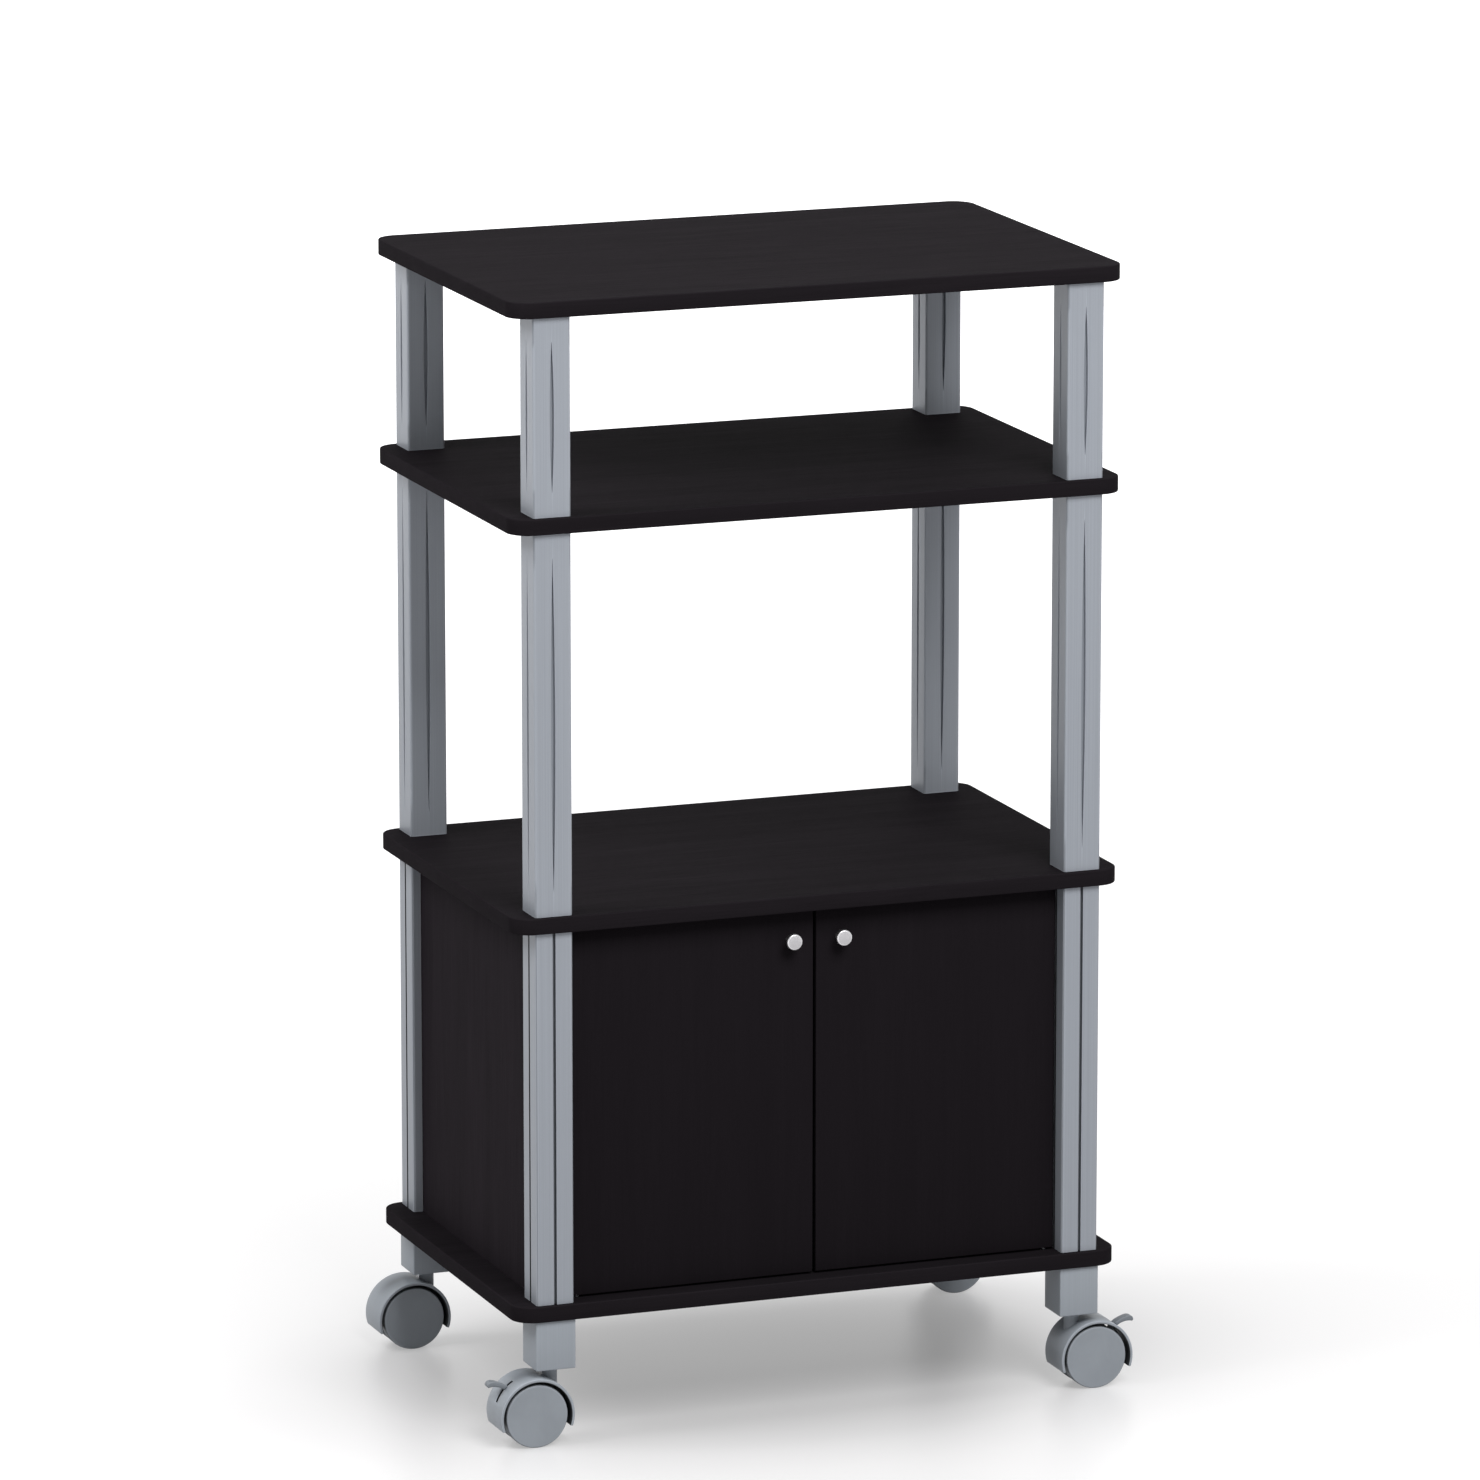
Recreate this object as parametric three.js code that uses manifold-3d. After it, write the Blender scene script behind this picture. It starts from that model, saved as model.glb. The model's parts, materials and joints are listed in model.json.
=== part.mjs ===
// Microwave cart: four black boards on grey posts, a two-door cabinet and four twin-wheel casters.
// Millimetres, +Z up, -Y is the door side. The origin is on the floor under the middle of the cart.

import * as THREE from "three";
import { mergeVertices } from "three/addons/utils/BufferGeometryUtils.js";
import Module from "manifold-3d";

const wasm = await Module();
wasm.setup();

// ---------------------------------------------------------------- boards
const BOARD_WIDTH = 597;
const BOARD_DEPTH = 396;
const BOARD_THICKNESS = 15;
const BOARD_CORNER_RADIUS = 21.5;
const BOARD_EDGE_ROUND = 0.8;

// ---------------------------------------------------------------- posts
const POST_SIZE = 36;
const POST_CORNER_RADIUS = 2;
const POST_WALL = 2.5; // behind the flutes and grooves
const POST_END_WALL = 3;
const POST_SIDE_INSET = 20.5; // from the board's end to the post's face
const POST_FRONT_INSET = 4.5; // from the board's front or back edge to the post's face
const UPPER_POST_LENGTH = 183;
const MIDDLE_POST_LENGTH = 355;
const CABINET_POST_LENGTH = 351;
const SPIGOT_DIAMETER = 22; // the round plug on a post's top that keys it to the next
const SPIGOT_REACH = 12; // how far it enters the next piece, past the board
const SPIGOT_CLEARANCE = 0.3;
const SOCKET_END_CLEARANCE = 1;
const BLIND_HOLE_DEPTH = 11; // in the underside of the top board

// the spindle-shaped flute on each face of the upper and middle posts
const FLUTE_WIDTH = 4.6; // at its middle, from where it narrows to a point at each end
const FLUTE_DEPTH = 3;
const FLUTE_END_MARGIN = 22;

// the narrow full-length groove on each face of the cabinet posts
const GROOVE_WIDTH = 3.2;
const GROOVE_DEPTH = 4;

// ---------------------------------------------------------------- feet
const FOOT_SIZE = 38.5;
const FOOT_HEIGHT = 47;
const FOOT_CORNER_RADIUS = 1.5;

// ---------------------------------------------------------------- cabinet panels
const PANEL_THICKNESS = 12;
const PANEL_INSET = 9; // from the posts' outer faces to the side panel's face
const PANEL_CLEARANCE = 0.3; // a tongue's gap to each wall of its groove
const PANEL_TOP_CLEARANCE = 0.5;

// ---------------------------------------------------------------- doors
const DOOR_THICKNESS = 12;
const DOOR_SETBACK = 15; // from the posts' front faces to the doors' front faces
const DOOR_MIDDLE_GAP = 3;
const DOOR_SIDE_GAP = 1.5;
const DOOR_END_GAP = 2; // above and below
const DOOR_HINGE_EDGE_RADIUS = 3;
const DOOR_FREE_EDGE_RADIUS = 1;
const HINGE_PIN_DIAMETER = 5;
const HINGE_PIN_INSET = 8; // from the door's hinge edge to the pin's axis
const HINGE_PIN_IN_DOOR = 10;
const HINGE_PIN_IN_BOARD = 9;
const HINGE_PIN_CLEARANCE = 0.15;

const KNOB_DIAMETER = 15.5;
const KNOB_HEAD_THICKNESS = 5;
const KNOB_FACE_ROUND = 1.8;
const KNOB_BACK_ROUND = 1.2;
const KNOB_NECK_DIAMETER = 6.8;
const KNOB_NECK_FLARE = 0.5; // where the neck meets the head and the door
const KNOB_PROJECTION = 14;
const KNOB_FROM_FREE_EDGE = 23;
const KNOB_FROM_TOP = 27.5;

const CATCH_WIDTH = 46;
const CATCH_DEPTH = 14;
const CATCH_HEIGHT = 12;
const CATCH_EAR = 9; // the screw tab at each end
const CATCH_EAR_THICKNESS = 2.5;
const CATCH_HOLE_DIAMETER = 3.4;
const CATCH_POLE_WIDTH = 12;
const CATCH_POLE_HEIGHT = 5.5;
const CATCH_POLE_PROUD = 1;
const CATCH_GAP = 0.3; // between the catch and the closed doors' strike plates
const STRIKE_WIDTH = 16;
const STRIKE_HEIGHT = 11;
const STRIKE_THICKNESS = 1.2;
const STRIKE_CORNER_RADIUS = 2.2;
const STRIKE_HOLE_DIAMETER = 3.6;

// ---------------------------------------------------------------- casters
const WHEEL_DIAMETER = 60; // across the flats of its facets
const WHEEL_WIDTH = 11;
const WHEEL_RIM = 4;
const WHEEL_FACE = 2.4;
const WHEEL_HUB_DIAMETER = 13;
const WHEEL_EDGE_ROUND = 1.2;
const WHEEL_GAP = 0.4; // from the housing's core to each wheel
const AXLE_DIAMETER = 6;
const AXLE_CLEARANCE = 0.1;
const AXLE_END_GAP = 0.4;
const CORE_WIDTH = 14; // the caster housing between its two wheels
const TRAIL = 18.4; // from the swivel axis to the wheels' axle
const HOOD_RADIUS = 36;
const HOOD_WALL = 3;
const HOOD_WIDTH = 42;
const HOOD_SKIRT_ANGLE = 19; // how far each end runs below the axle, in degrees
const HOOD_HEADROOM = 7; // between the hood's crown and the foot
const HOOD_EDGE_ROUND = 0.6;
const WEB_THICKNESS = 4;
const WEB_START_ANGLE = 100; // where the web meets the hood's crown, in degrees
const AXLE_BOSS_DIAMETER = 16;
const AXLE_ARM_HEIGHT = 11;
const BARREL_BELOW_AXLE = 9;
const STEM_DIAMETER = 8;
const STEM_CLEARANCE = 0.15;
const STEM_END_CLEARANCE = 0.5;
const STEM_IN_FOOT = 34;
const STEM_BELOW_AXLE = 4;
const COLLAR_DIAMETER = 14;
const COLLAR_THICKNESS = 2;
const SWIVEL_GAP = 0.3;

// ---------------------------------------------------------------- brake levers of the front casters
const LEVER_ANGLE = 46; // of the arm above the horizontal, in degrees, with the brake off
const LEVER_PLATE = 3.5;
const LEVER_ARM_WIDTH = 5;
const LEVER_BLADE_WIDTH = 9;
const LEVER_RING_DIAMETER = 18;
const LEVER_RING_WIDTH = 5.4;
const LEVER_CLEARANCE = 0.4;
const LEVER_SLOT_LOW = 20; // the slot's lower and upper ends, in degrees above the horizontal
const LEVER_SLOT_HIGH = 60;

// the lever's blade: radii measured out from its root on the hood, and angles from the arm, in degrees
const BLADE_ROOT_ANGLE = 5; // to each side of the arm
const BLADE_OUTER_BEND = 10;
const BLADE_OUTER_BEND_ANGLE = 3;
const BLADE_TIP = 16;
const BLADE_TIP_ANGLE = 11; // below the arm
const BLADE_NOSE_ANGLE = 14;
const BLADE_TIP_THICKNESS = 2.5;
const BLADE_INNER_BEND = 7;

// ---------------------------------------------------------------- worked-out places
const AXLE_HEIGHT = WHEEL_DIAMETER / 2;
const FOOT_BOTTOM = AXLE_HEIGHT + HOOD_RADIUS + HOOD_HEADROOM;
const BASE_BOARD_BOTTOM = FOOT_BOTTOM + FOOT_HEIGHT;
const CABINET_FLOOR = BASE_BOARD_BOTTOM + BOARD_THICKNESS;
const MICROWAVE_BOARD_BOTTOM = CABINET_FLOOR + CABINET_POST_LENGTH;
const MIDDLE_POST_BOTTOM = MICROWAVE_BOARD_BOTTOM + BOARD_THICKNESS;
const UPPER_BOARD_BOTTOM = MIDDLE_POST_BOTTOM + MIDDLE_POST_LENGTH;
const UPPER_POST_BOTTOM = UPPER_BOARD_BOTTOM + BOARD_THICKNESS;
const TOP_BOARD_BOTTOM = UPPER_POST_BOTTOM + UPPER_POST_LENGTH;

const POST_X = BOARD_WIDTH / 2 - POST_SIDE_INSET - POST_SIZE / 2;
const POST_Y = BOARD_DEPTH / 2 - POST_FRONT_INSET - POST_SIZE / 2;
const DOORWAY_HALF = POST_X - POST_SIZE / 2;
const DOOR_FRONT_Y = -POST_Y - POST_SIZE / 2 + DOOR_SETBACK;
const DOOR_BACK_Y = DOOR_FRONT_Y + DOOR_THICKNESS;
const DOOR_HEIGHT = CABINET_POST_LENGTH - 2 * DOOR_END_GAP;
const DOOR_WIDTH = DOORWAY_HALF - DOOR_SIDE_GAP - DOOR_MIDDLE_GAP / 2;
const HINGE_PIN_X = DOORWAY_HALF - DOOR_SIDE_GAP - HINGE_PIN_INSET;
const HINGE_PIN_Y = DOOR_FRONT_Y + DOOR_THICKNESS / 2;
const WHEEL_INNER_FACE = CORE_WIDTH / 2 + WHEEL_GAP;
const WHEEL_OUTER_FACE = WHEEL_INNER_FACE + WHEEL_WIDTH;

const WHEEL_SEGMENTS = 24;
const ROUND_SEGMENTS = 16;
const SPIGOT_SEGMENTS = 10;
const SMALL_SEGMENTS = 10;
const HOOD_CURVE = 8; // each arc of an outline is drawn with twice as many straight steps
const FLUTE_CURVE = 6;
const BOARD_CURVE = 3;
const CASTER_CURVE = 3;
const DOOR_CURVE = 2;
const SMALL_CURVE = 1;
const OVERRUN = 1; // how far a cutter runs past the surface that it opens

const CORNERS = [
  { name: "front_left", x: -1, y: -1 },
  { name: "front_right", x: 1, y: -1 },
  { name: "back_left", x: -1, y: 1 },
  { name: "back_right", x: 1, y: 1 },
];

// ---------------------------------------------------------------- shape helpers

const radians = THREE.MathUtils.degToRad;

// A closed geometry as a solid that can be joined and cut.
function solid(geometry) {
  const bare = geometry.index ? geometry.toNonIndexed() : geometry.clone();
  bare.deleteAttribute("normal");
  bare.deleteAttribute("uv");
  const merged = mergeVertices(bare, 1e-4);
  const mesh = new wasm.Mesh({
    numProp: 3,
    vertProperties: merged.attributes.position.array,
    triVerts: new Uint32Array(merged.index.array),
  });
  return new wasm.Manifold(mesh);
}

function geometryOf(body) {
  const mesh = body.getMesh();
  const geometry = new THREE.BufferGeometry();
  geometry.setAttribute("position", new THREE.BufferAttribute(mesh.vertProperties, 3));
  geometry.setIndex(new THREE.BufferAttribute(mesh.triVerts, 1));
  const faceted = geometry.toNonIndexed();
  faceted.computeVertexNormals();
  return faceted;
}

// The outer radius of a polygon whose flats lie on a circle of the given radius.
function aroundCircle(radius, segments) {
  return radius / Math.cos(Math.PI / segments);
}

function box(width, depth, height, x, y, z) {
  return solid(new THREE.BoxGeometry(width, depth, height).translate(x, y, z));
}

// A straight prism of a plan outline, standing from bottom to top.
function upright(shape, bottom, top, curveSegments, edgeRound = 0) {
  const geometry = new THREE.ExtrudeGeometry(shape, {
    depth: top - bottom - 2 * edgeRound,
    curveSegments,
    bevelEnabled: edgeRound > 0,
    bevelThickness: edgeRound,
    bevelSize: edgeRound,
    bevelOffset: -edgeRound,
    bevelSegments: 1,
  });
  return solid(geometry.translate(0, 0, bottom + edgeRound));
}

// A prism of a side-view outline (x, z), centred on y = 0 and running across.
function across(shape, width, curveSegments, edgeRound = 0) {
  const body = upright(shape, -width / 2, width / 2, curveSegments, edgeRound);
  return body.rotate([90, 0, 0]);
}

function verticalCylinder(radius, bottom, top, segments, x = 0, y = 0) {
  const cylinder = new THREE.CylinderGeometry(radius, radius, top - bottom, segments);
  cylinder.rotateX(Math.PI / 2);
  return solid(cylinder.translate(x, y, (bottom + top) / 2));
}

function crossCylinder(radius, width, segments, x, z) {
  const cylinder = new THREE.CylinderGeometry(radius, radius, width, segments);
  return solid(cylinder.translate(x, 0, z));
}

// A turned body about the Y axis from [radius, y] pairs, with a flat of its facets downwards.
function turned(profile, segments) {
  const points = profile.map(([radius, y]) => new THREE.Vector2(radius, y));
  return solid(new THREE.LatheGeometry(points, segments, Math.PI / segments));
}

function cut(body, ...tools) {
  return tools.reduce((rest, tool) => rest.subtract(tool), body);
}

function join(body, ...others) {
  return others.reduce((whole, other) => whole.add(other), body);
}

function roundedRectangle(width, depth, radius) {
  return rectangleWithRadii(-width / 2, width / 2, -depth / 2, depth / 2, radius, radius);
}

// A rectangle whose corners have one radius on its left and another on its right.
function rectangleWithRadii(left, right, low, high, leftRadius, rightRadius) {
  const quarter = Math.PI / 2;
  const shape = new THREE.Shape();
  shape.absarc(right - rightRadius, low + rightRadius, rightRadius, -quarter, 0);
  shape.absarc(right - rightRadius, high - rightRadius, rightRadius, 0, quarter);
  shape.absarc(left + leftRadius, high - leftRadius, leftRadius, quarter, 2 * quarter);
  shape.absarc(left + leftRadius, low + leftRadius, leftRadius, 2 * quarter, 3 * quarter);
  return shape;
}

// ---------------------------------------------------------------- boards

function boardBlank(bottom) {
  const outline = roundedRectangle(BOARD_WIDTH, BOARD_DEPTH, BOARD_CORNER_RADIUS);
  return upright(outline, bottom, bottom + BOARD_THICKNESS, BOARD_CURVE, BOARD_EDGE_ROUND);
}

function spigotHoleRadius() {
  return aroundCircle(SPIGOT_DIAMETER / 2 + SPIGOT_CLEARANCE, SPIGOT_SEGMENTS);
}

function postHoles(bottom, top) {
  const radius = spigotHoleRadius();
  return CORNERS.map(({ x, y }) =>
    verticalCylinder(radius, bottom, top, SPIGOT_SEGMENTS, x * POST_X, y * POST_Y),
  );
}

function hingePinHoles(bottom, top) {
  const radius = aroundCircle(HINGE_PIN_DIAMETER / 2 + HINGE_PIN_CLEARANCE, SMALL_SEGMENTS);
  return [-1, 1].map((side) =>
    verticalCylinder(radius, bottom, top, SMALL_SEGMENTS, side * HINGE_PIN_X, HINGE_PIN_Y),
  );
}

function throughBoard(bottom) {
  const holes = postHoles(bottom - OVERRUN, bottom + BOARD_THICKNESS + OVERRUN);
  return cut(boardBlank(bottom), ...holes);
}

function topBoard() {
  const bottom = TOP_BOARD_BOTTOM;
  return cut(boardBlank(bottom), ...postHoles(bottom - OVERRUN, bottom + BLIND_HOLE_DEPTH));
}

function microwaveBoard() {
  const bottom = MICROWAVE_BOARD_BOTTOM;
  return cut(throughBoard(bottom), ...hingePinHoles(bottom - OVERRUN, bottom + HINGE_PIN_IN_BOARD));
}

function baseBoard() {
  const top = CABINET_FLOOR;
  const pinHoles = hingePinHoles(top - HINGE_PIN_IN_BOARD, top + OVERRUN);
  return cut(throughBoard(BASE_BOARD_BOTTOM), ...pinHoles);
}

// ---------------------------------------------------------------- posts and feet

// A square with rounded corners and, where a depth is given, a groove along the middle of each side.
function postOutline(size, cornerRadius, grooveDepth = 0) {
  const half = size / 2;
  const centre = half - cornerRadius;
  const shape = new THREE.Shape();
  for (let side = 0; side < 4; side++) {
    const angle = (side * Math.PI) / 2;
    const [cos, sin] = [Math.cos(angle), Math.sin(angle)];
    const place = (x, y) => [x * cos - y * sin, x * sin + y * cos];
    const [cornerX, cornerY] = place(centre, -centre);
    shape.absarc(cornerX, cornerY, cornerRadius, angle - Math.PI / 2, angle);
    if (grooveDepth > 0) {
      shape.lineTo(...place(half, -GROOVE_WIDTH / 2));
      shape.lineTo(...place(half - grooveDepth, -GROOVE_WIDTH / 2));
      shape.lineTo(...place(half - grooveDepth, GROOVE_WIDTH / 2));
      shape.lineTo(...place(half, GROOVE_WIDTH / 2));
    }
  }
  return shape;
}

// The cutter of the flute in a post's back face.
function fluteCutter(length) {
  const low = FLUTE_END_MARGIN;
  const high = length - FLUTE_END_MARGIN;
  const middle = length / 2;
  const spindle = new THREE.Shape();
  spindle.moveTo(0, low);
  spindle.quadraticCurveTo(FLUTE_WIDTH, middle, 0, high);
  spindle.quadraticCurveTo(-FLUTE_WIDTH, middle, 0, low);
  const middleY = POST_SIZE / 2 + (OVERRUN - FLUTE_DEPTH) / 2;
  return across(spindle, FLUTE_DEPTH + OVERRUN, FLUTE_CURVE).translate([0, middleY, 0]);
}

// The spigot stands on a post or foot of the given length, up through the board and into the next piece.
function spigot(length, reach) {
  return verticalCylinder(SPIGOT_DIAMETER / 2, length - OVERRUN, length + reach, SPIGOT_SEGMENTS);
}

// A hollow moulding, open at its foot where the spigot below enters. Its wall runs behind flutes and grooves.
function postShell(length, outline, recessDepth, spigotReach) {
  const inside = POST_SIZE - 2 * (POST_WALL + recessDepth);
  const cavityLength = length - 2 * POST_END_WALL;
  const socketDepth = SPIGOT_REACH + SOCKET_END_CLEARANCE;
  return cut(
    join(
      upright(outline, 0, length, SMALL_CURVE),
      spigot(length, spigotReach),
    ),
    box(inside, inside, cavityLength, 0, 0, length / 2),
    verticalCylinder(spigotHoleRadius(), -OVERRUN, socketDepth, SPIGOT_SEGMENTS),
  );
}

function flutedPost(length, spigotReach) {
  const outline = postOutline(POST_SIZE, POST_CORNER_RADIUS);
  const cutters = [0, 90, 180, 270].map((turn) => fluteCutter(length).rotate([0, 0, turn]));
  return cut(postShell(length, outline, FLUTE_DEPTH, spigotReach), ...cutters);
}

function upperPost() {
  return flutedPost(UPPER_POST_LENGTH, BLIND_HOLE_DEPTH - SOCKET_END_CLEARANCE);
}

function middlePost() {
  return flutedPost(MIDDLE_POST_LENGTH, BOARD_THICKNESS + SPIGOT_REACH);
}

function cabinetPost() {
  const outline = postOutline(POST_SIZE, POST_CORNER_RADIUS, GROOVE_DEPTH);
  return postShell(CABINET_POST_LENGTH, outline, GROOVE_DEPTH, BOARD_THICKNESS + SPIGOT_REACH);
}

function foot() {
  const stemHole = aroundCircle(STEM_DIAMETER / 2 + STEM_CLEARANCE, SMALL_SEGMENTS);
  const holeDepth = STEM_IN_FOOT + STEM_END_CLEARANCE;
  return cut(
    join(
      upright(postOutline(FOOT_SIZE, FOOT_CORNER_RADIUS), 0, FOOT_HEIGHT, SMALL_CURVE),
      spigot(FOOT_HEIGHT, BOARD_THICKNESS + SPIGOT_REACH),
    ),
    verticalCylinder(stemHole, -OVERRUN, holeDepth, SMALL_SEGMENTS),
  );
}

// ---------------------------------------------------------------- cabinet panels

// The right-hand side panel: a board with a tongue on each upright edge, held in the posts' grooves.
function sidePanel() {
  const outer = POST_X + POST_SIZE / 2 - PANEL_INSET;
  const inner = outer - PANEL_THICKNESS;
  const halfLength = POST_Y - POST_SIZE / 2;
  const tongue = GROOVE_WIDTH / 2 - PANEL_CLEARANCE;
  const tongueEnd = halfLength + GROOVE_DEPTH - PANEL_CLEARANCE;
  const rearEdge = [
    [inner, halfLength],
    [POST_X - tongue, halfLength],
    [POST_X - tongue, tongueEnd],
    [POST_X + tongue, tongueEnd],
    [POST_X + tongue, halfLength],
    [outer, halfLength],
  ];
  const frontEdge = rearEdge.toReversed().map(([x, y]) => [x, -y]);
  const shape = new THREE.Shape([...rearEdge, ...frontEdge].map(([x, y]) => new THREE.Vector2(x, y)));
  return upright(shape, CABINET_FLOOR, MICROWAVE_BOARD_BOTTOM - PANEL_TOP_CLEARANCE, SMALL_CURVE);
}

// The thin back, whose upright edges slide in the back posts' grooves.
function backPanel() {
  const height = CABINET_POST_LENGTH - PANEL_TOP_CLEARANCE;
  const width = 2 * (DOORWAY_HALF + GROOVE_DEPTH - PANEL_CLEARANCE);
  const thickness = GROOVE_WIDTH - 2 * PANEL_CLEARANCE;
  return box(width, thickness, height, 0, POST_Y, CABINET_FLOOR + height / 2);
}

// ---------------------------------------------------------------- doors and their fittings

// The right-hand door, closed, with a pin hole in its top and bottom near the hinge edge.
function door() {
  const free = DOOR_MIDDLE_GAP / 2;
  const hinge = free + DOOR_WIDTH;
  const bottom = CABINET_FLOOR + DOOR_END_GAP;
  const top = bottom + DOOR_HEIGHT;
  const depth = HINGE_PIN_IN_DOOR + HINGE_PIN_CLEARANCE;
  const radius = aroundCircle(HINGE_PIN_DIAMETER / 2 + HINGE_PIN_CLEARANCE, SMALL_SEGMENTS);
  const outline = rectangleWithRadii(
    free,
    hinge,
    DOOR_FRONT_Y,
    DOOR_BACK_Y,
    DOOR_FREE_EDGE_RADIUS,
    DOOR_HINGE_EDGE_RADIUS,
  );
  return cut(
    upright(outline, bottom, top, DOOR_CURVE),
    verticalCylinder(radius, bottom - OVERRUN, bottom + depth, SMALL_SEGMENTS, HINGE_PIN_X, HINGE_PIN_Y),
    verticalCylinder(radius, top - depth, top + OVERRUN, SMALL_SEGMENTS, HINGE_PIN_X, HINGE_PIN_Y),
  );
}

// A plain pin standing in the base board, or hanging in the board above, and reaching into the door.
function hingePin(end) {
  const length = HINGE_PIN_IN_BOARD + DOOR_END_GAP + HINGE_PIN_IN_DOOR - HINGE_PIN_CLEARANCE;
  const lowEnd = CABINET_FLOOR - HINGE_PIN_IN_BOARD;
  const highEnd = MICROWAVE_BOARD_BOTTOM + HINGE_PIN_IN_BOARD;
  const [bottom, top] = end === "bottom" ? [lowEnd, lowEnd + length] : [highEnd - length, highEnd];
  return verticalCylinder(HINGE_PIN_DIAMETER / 2, bottom, top, SMALL_SEGMENTS);
}

// A round knob on a narrower neck, standing out of y = 0 towards -Y.
function knob() {
  const head = KNOB_DIAMETER / 2;
  const neck = KNOB_NECK_DIAMETER / 2;
  const face = -KNOB_PROJECTION;
  const back = face + KNOB_HEAD_THICKNESS;
  const faceRound = [0, 45, 90].map((degrees) => [
    head - KNOB_FACE_ROUND * (1 - Math.sin(radians(degrees))),
    face + KNOB_FACE_ROUND * (1 - Math.cos(radians(degrees))),
  ]);
  return turned(
    [
      [0, face],
      ...faceRound,
      [head, back - KNOB_BACK_ROUND],
      [head - KNOB_BACK_ROUND, back],
      [neck + KNOB_NECK_FLARE, back],
      [neck, back + KNOB_NECK_FLARE],
      [neck, -KNOB_NECK_FLARE],
      [neck + KNOB_NECK_FLARE, 0],
      [0, 0],
    ],
    ROUND_SEGMENTS,
  );
}

// The double magnetic catch under the microwave board, with a screw tab at each end and a pole for
// each door's strike plate.
function doorCatch() {
  const top = MICROWAVE_BOARD_BOTTOM;
  const front = DOOR_BACK_Y + STRIKE_THICKNESS + CATCH_GAP;
  const bodyDepth = CATCH_DEPTH - CATCH_POLE_PROUD;
  const bodyY = front + CATCH_POLE_PROUD + bodyDepth / 2;
  const body = box(CATCH_WIDTH, bodyDepth, CATCH_HEIGHT, 0, bodyY, top - CATCH_HEIGHT / 2);
  const tabsWidth = CATCH_WIDTH + 2 * CATCH_EAR;
  const tabs = box(tabsWidth, bodyDepth, CATCH_EAR_THICKNESS, 0, bodyY, top - CATCH_EAR_THICKNESS / 2);
  const poleDepth = CATCH_POLE_PROUD + OVERRUN;
  const poles = [-strikeX(), strikeX()].map((x) =>
    box(CATCH_POLE_WIDTH, poleDepth, CATCH_POLE_HEIGHT, x, front + poleDepth / 2, strikeZ()),
  );
  const holeX = (CATCH_WIDTH + CATCH_EAR) / 2;
  const holes = [-holeX, holeX].map((x) =>
    verticalCylinder(CATCH_HOLE_DIAMETER / 2, top - CATCH_HEIGHT, top + OVERRUN, SMALL_SEGMENTS, x, bodyY),
  );
  return cut(join(body, tabs, ...poles), ...holes);
}

function strikeX() {
  return CATCH_WIDTH / 4;
}

function strikeZ() {
  return MICROWAVE_BOARD_BOTTOM - DOOR_END_GAP - STRIKE_HEIGHT / 2 - PANEL_TOP_CLEARANCE;
}

// The steel plate on the back of the right-hand door.
function strikePlate() {
  const outline = roundedRectangle(STRIKE_WIDTH, STRIKE_HEIGHT, STRIKE_CORNER_RADIUS);
  const plate = cut(
    across(outline, STRIKE_THICKNESS, SMALL_CURVE),
    crossCylinder(STRIKE_HOLE_DIAMETER / 2, 2 * STRIKE_THICKNESS, SMALL_SEGMENTS, 0, 0),
  );
  return plate.translate([strikeX(), DOOR_BACK_Y + STRIKE_THICKNESS / 2, strikeZ()]);
}

// ---------------------------------------------------------------- casters
// A caster's own frame: z up from the floor, the swivel axis at x = 0, the wheels trailing towards +x.

// A sector between two radii about the axle, from one angle to another, as a side view.
function sector(inner, outer, startDegrees, endDegrees) {
  const [start, end] = [radians(startDegrees), radians(endDegrees)];
  const shape = new THREE.Shape();
  shape.absarc(TRAIL, AXLE_HEIGHT, outer, start, end, false);
  if (inner > 0) {
    shape.absarc(TRAIL, AXLE_HEIGHT, inner, end, start, true);
  } else {
    shape.lineTo(TRAIL, AXLE_HEIGHT);
  }
  shape.closePath();
  return shape;
}

function barrelTop() {
  return FOOT_BOTTOM - COLLAR_THICKNESS - SWIVEL_GAP;
}

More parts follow.
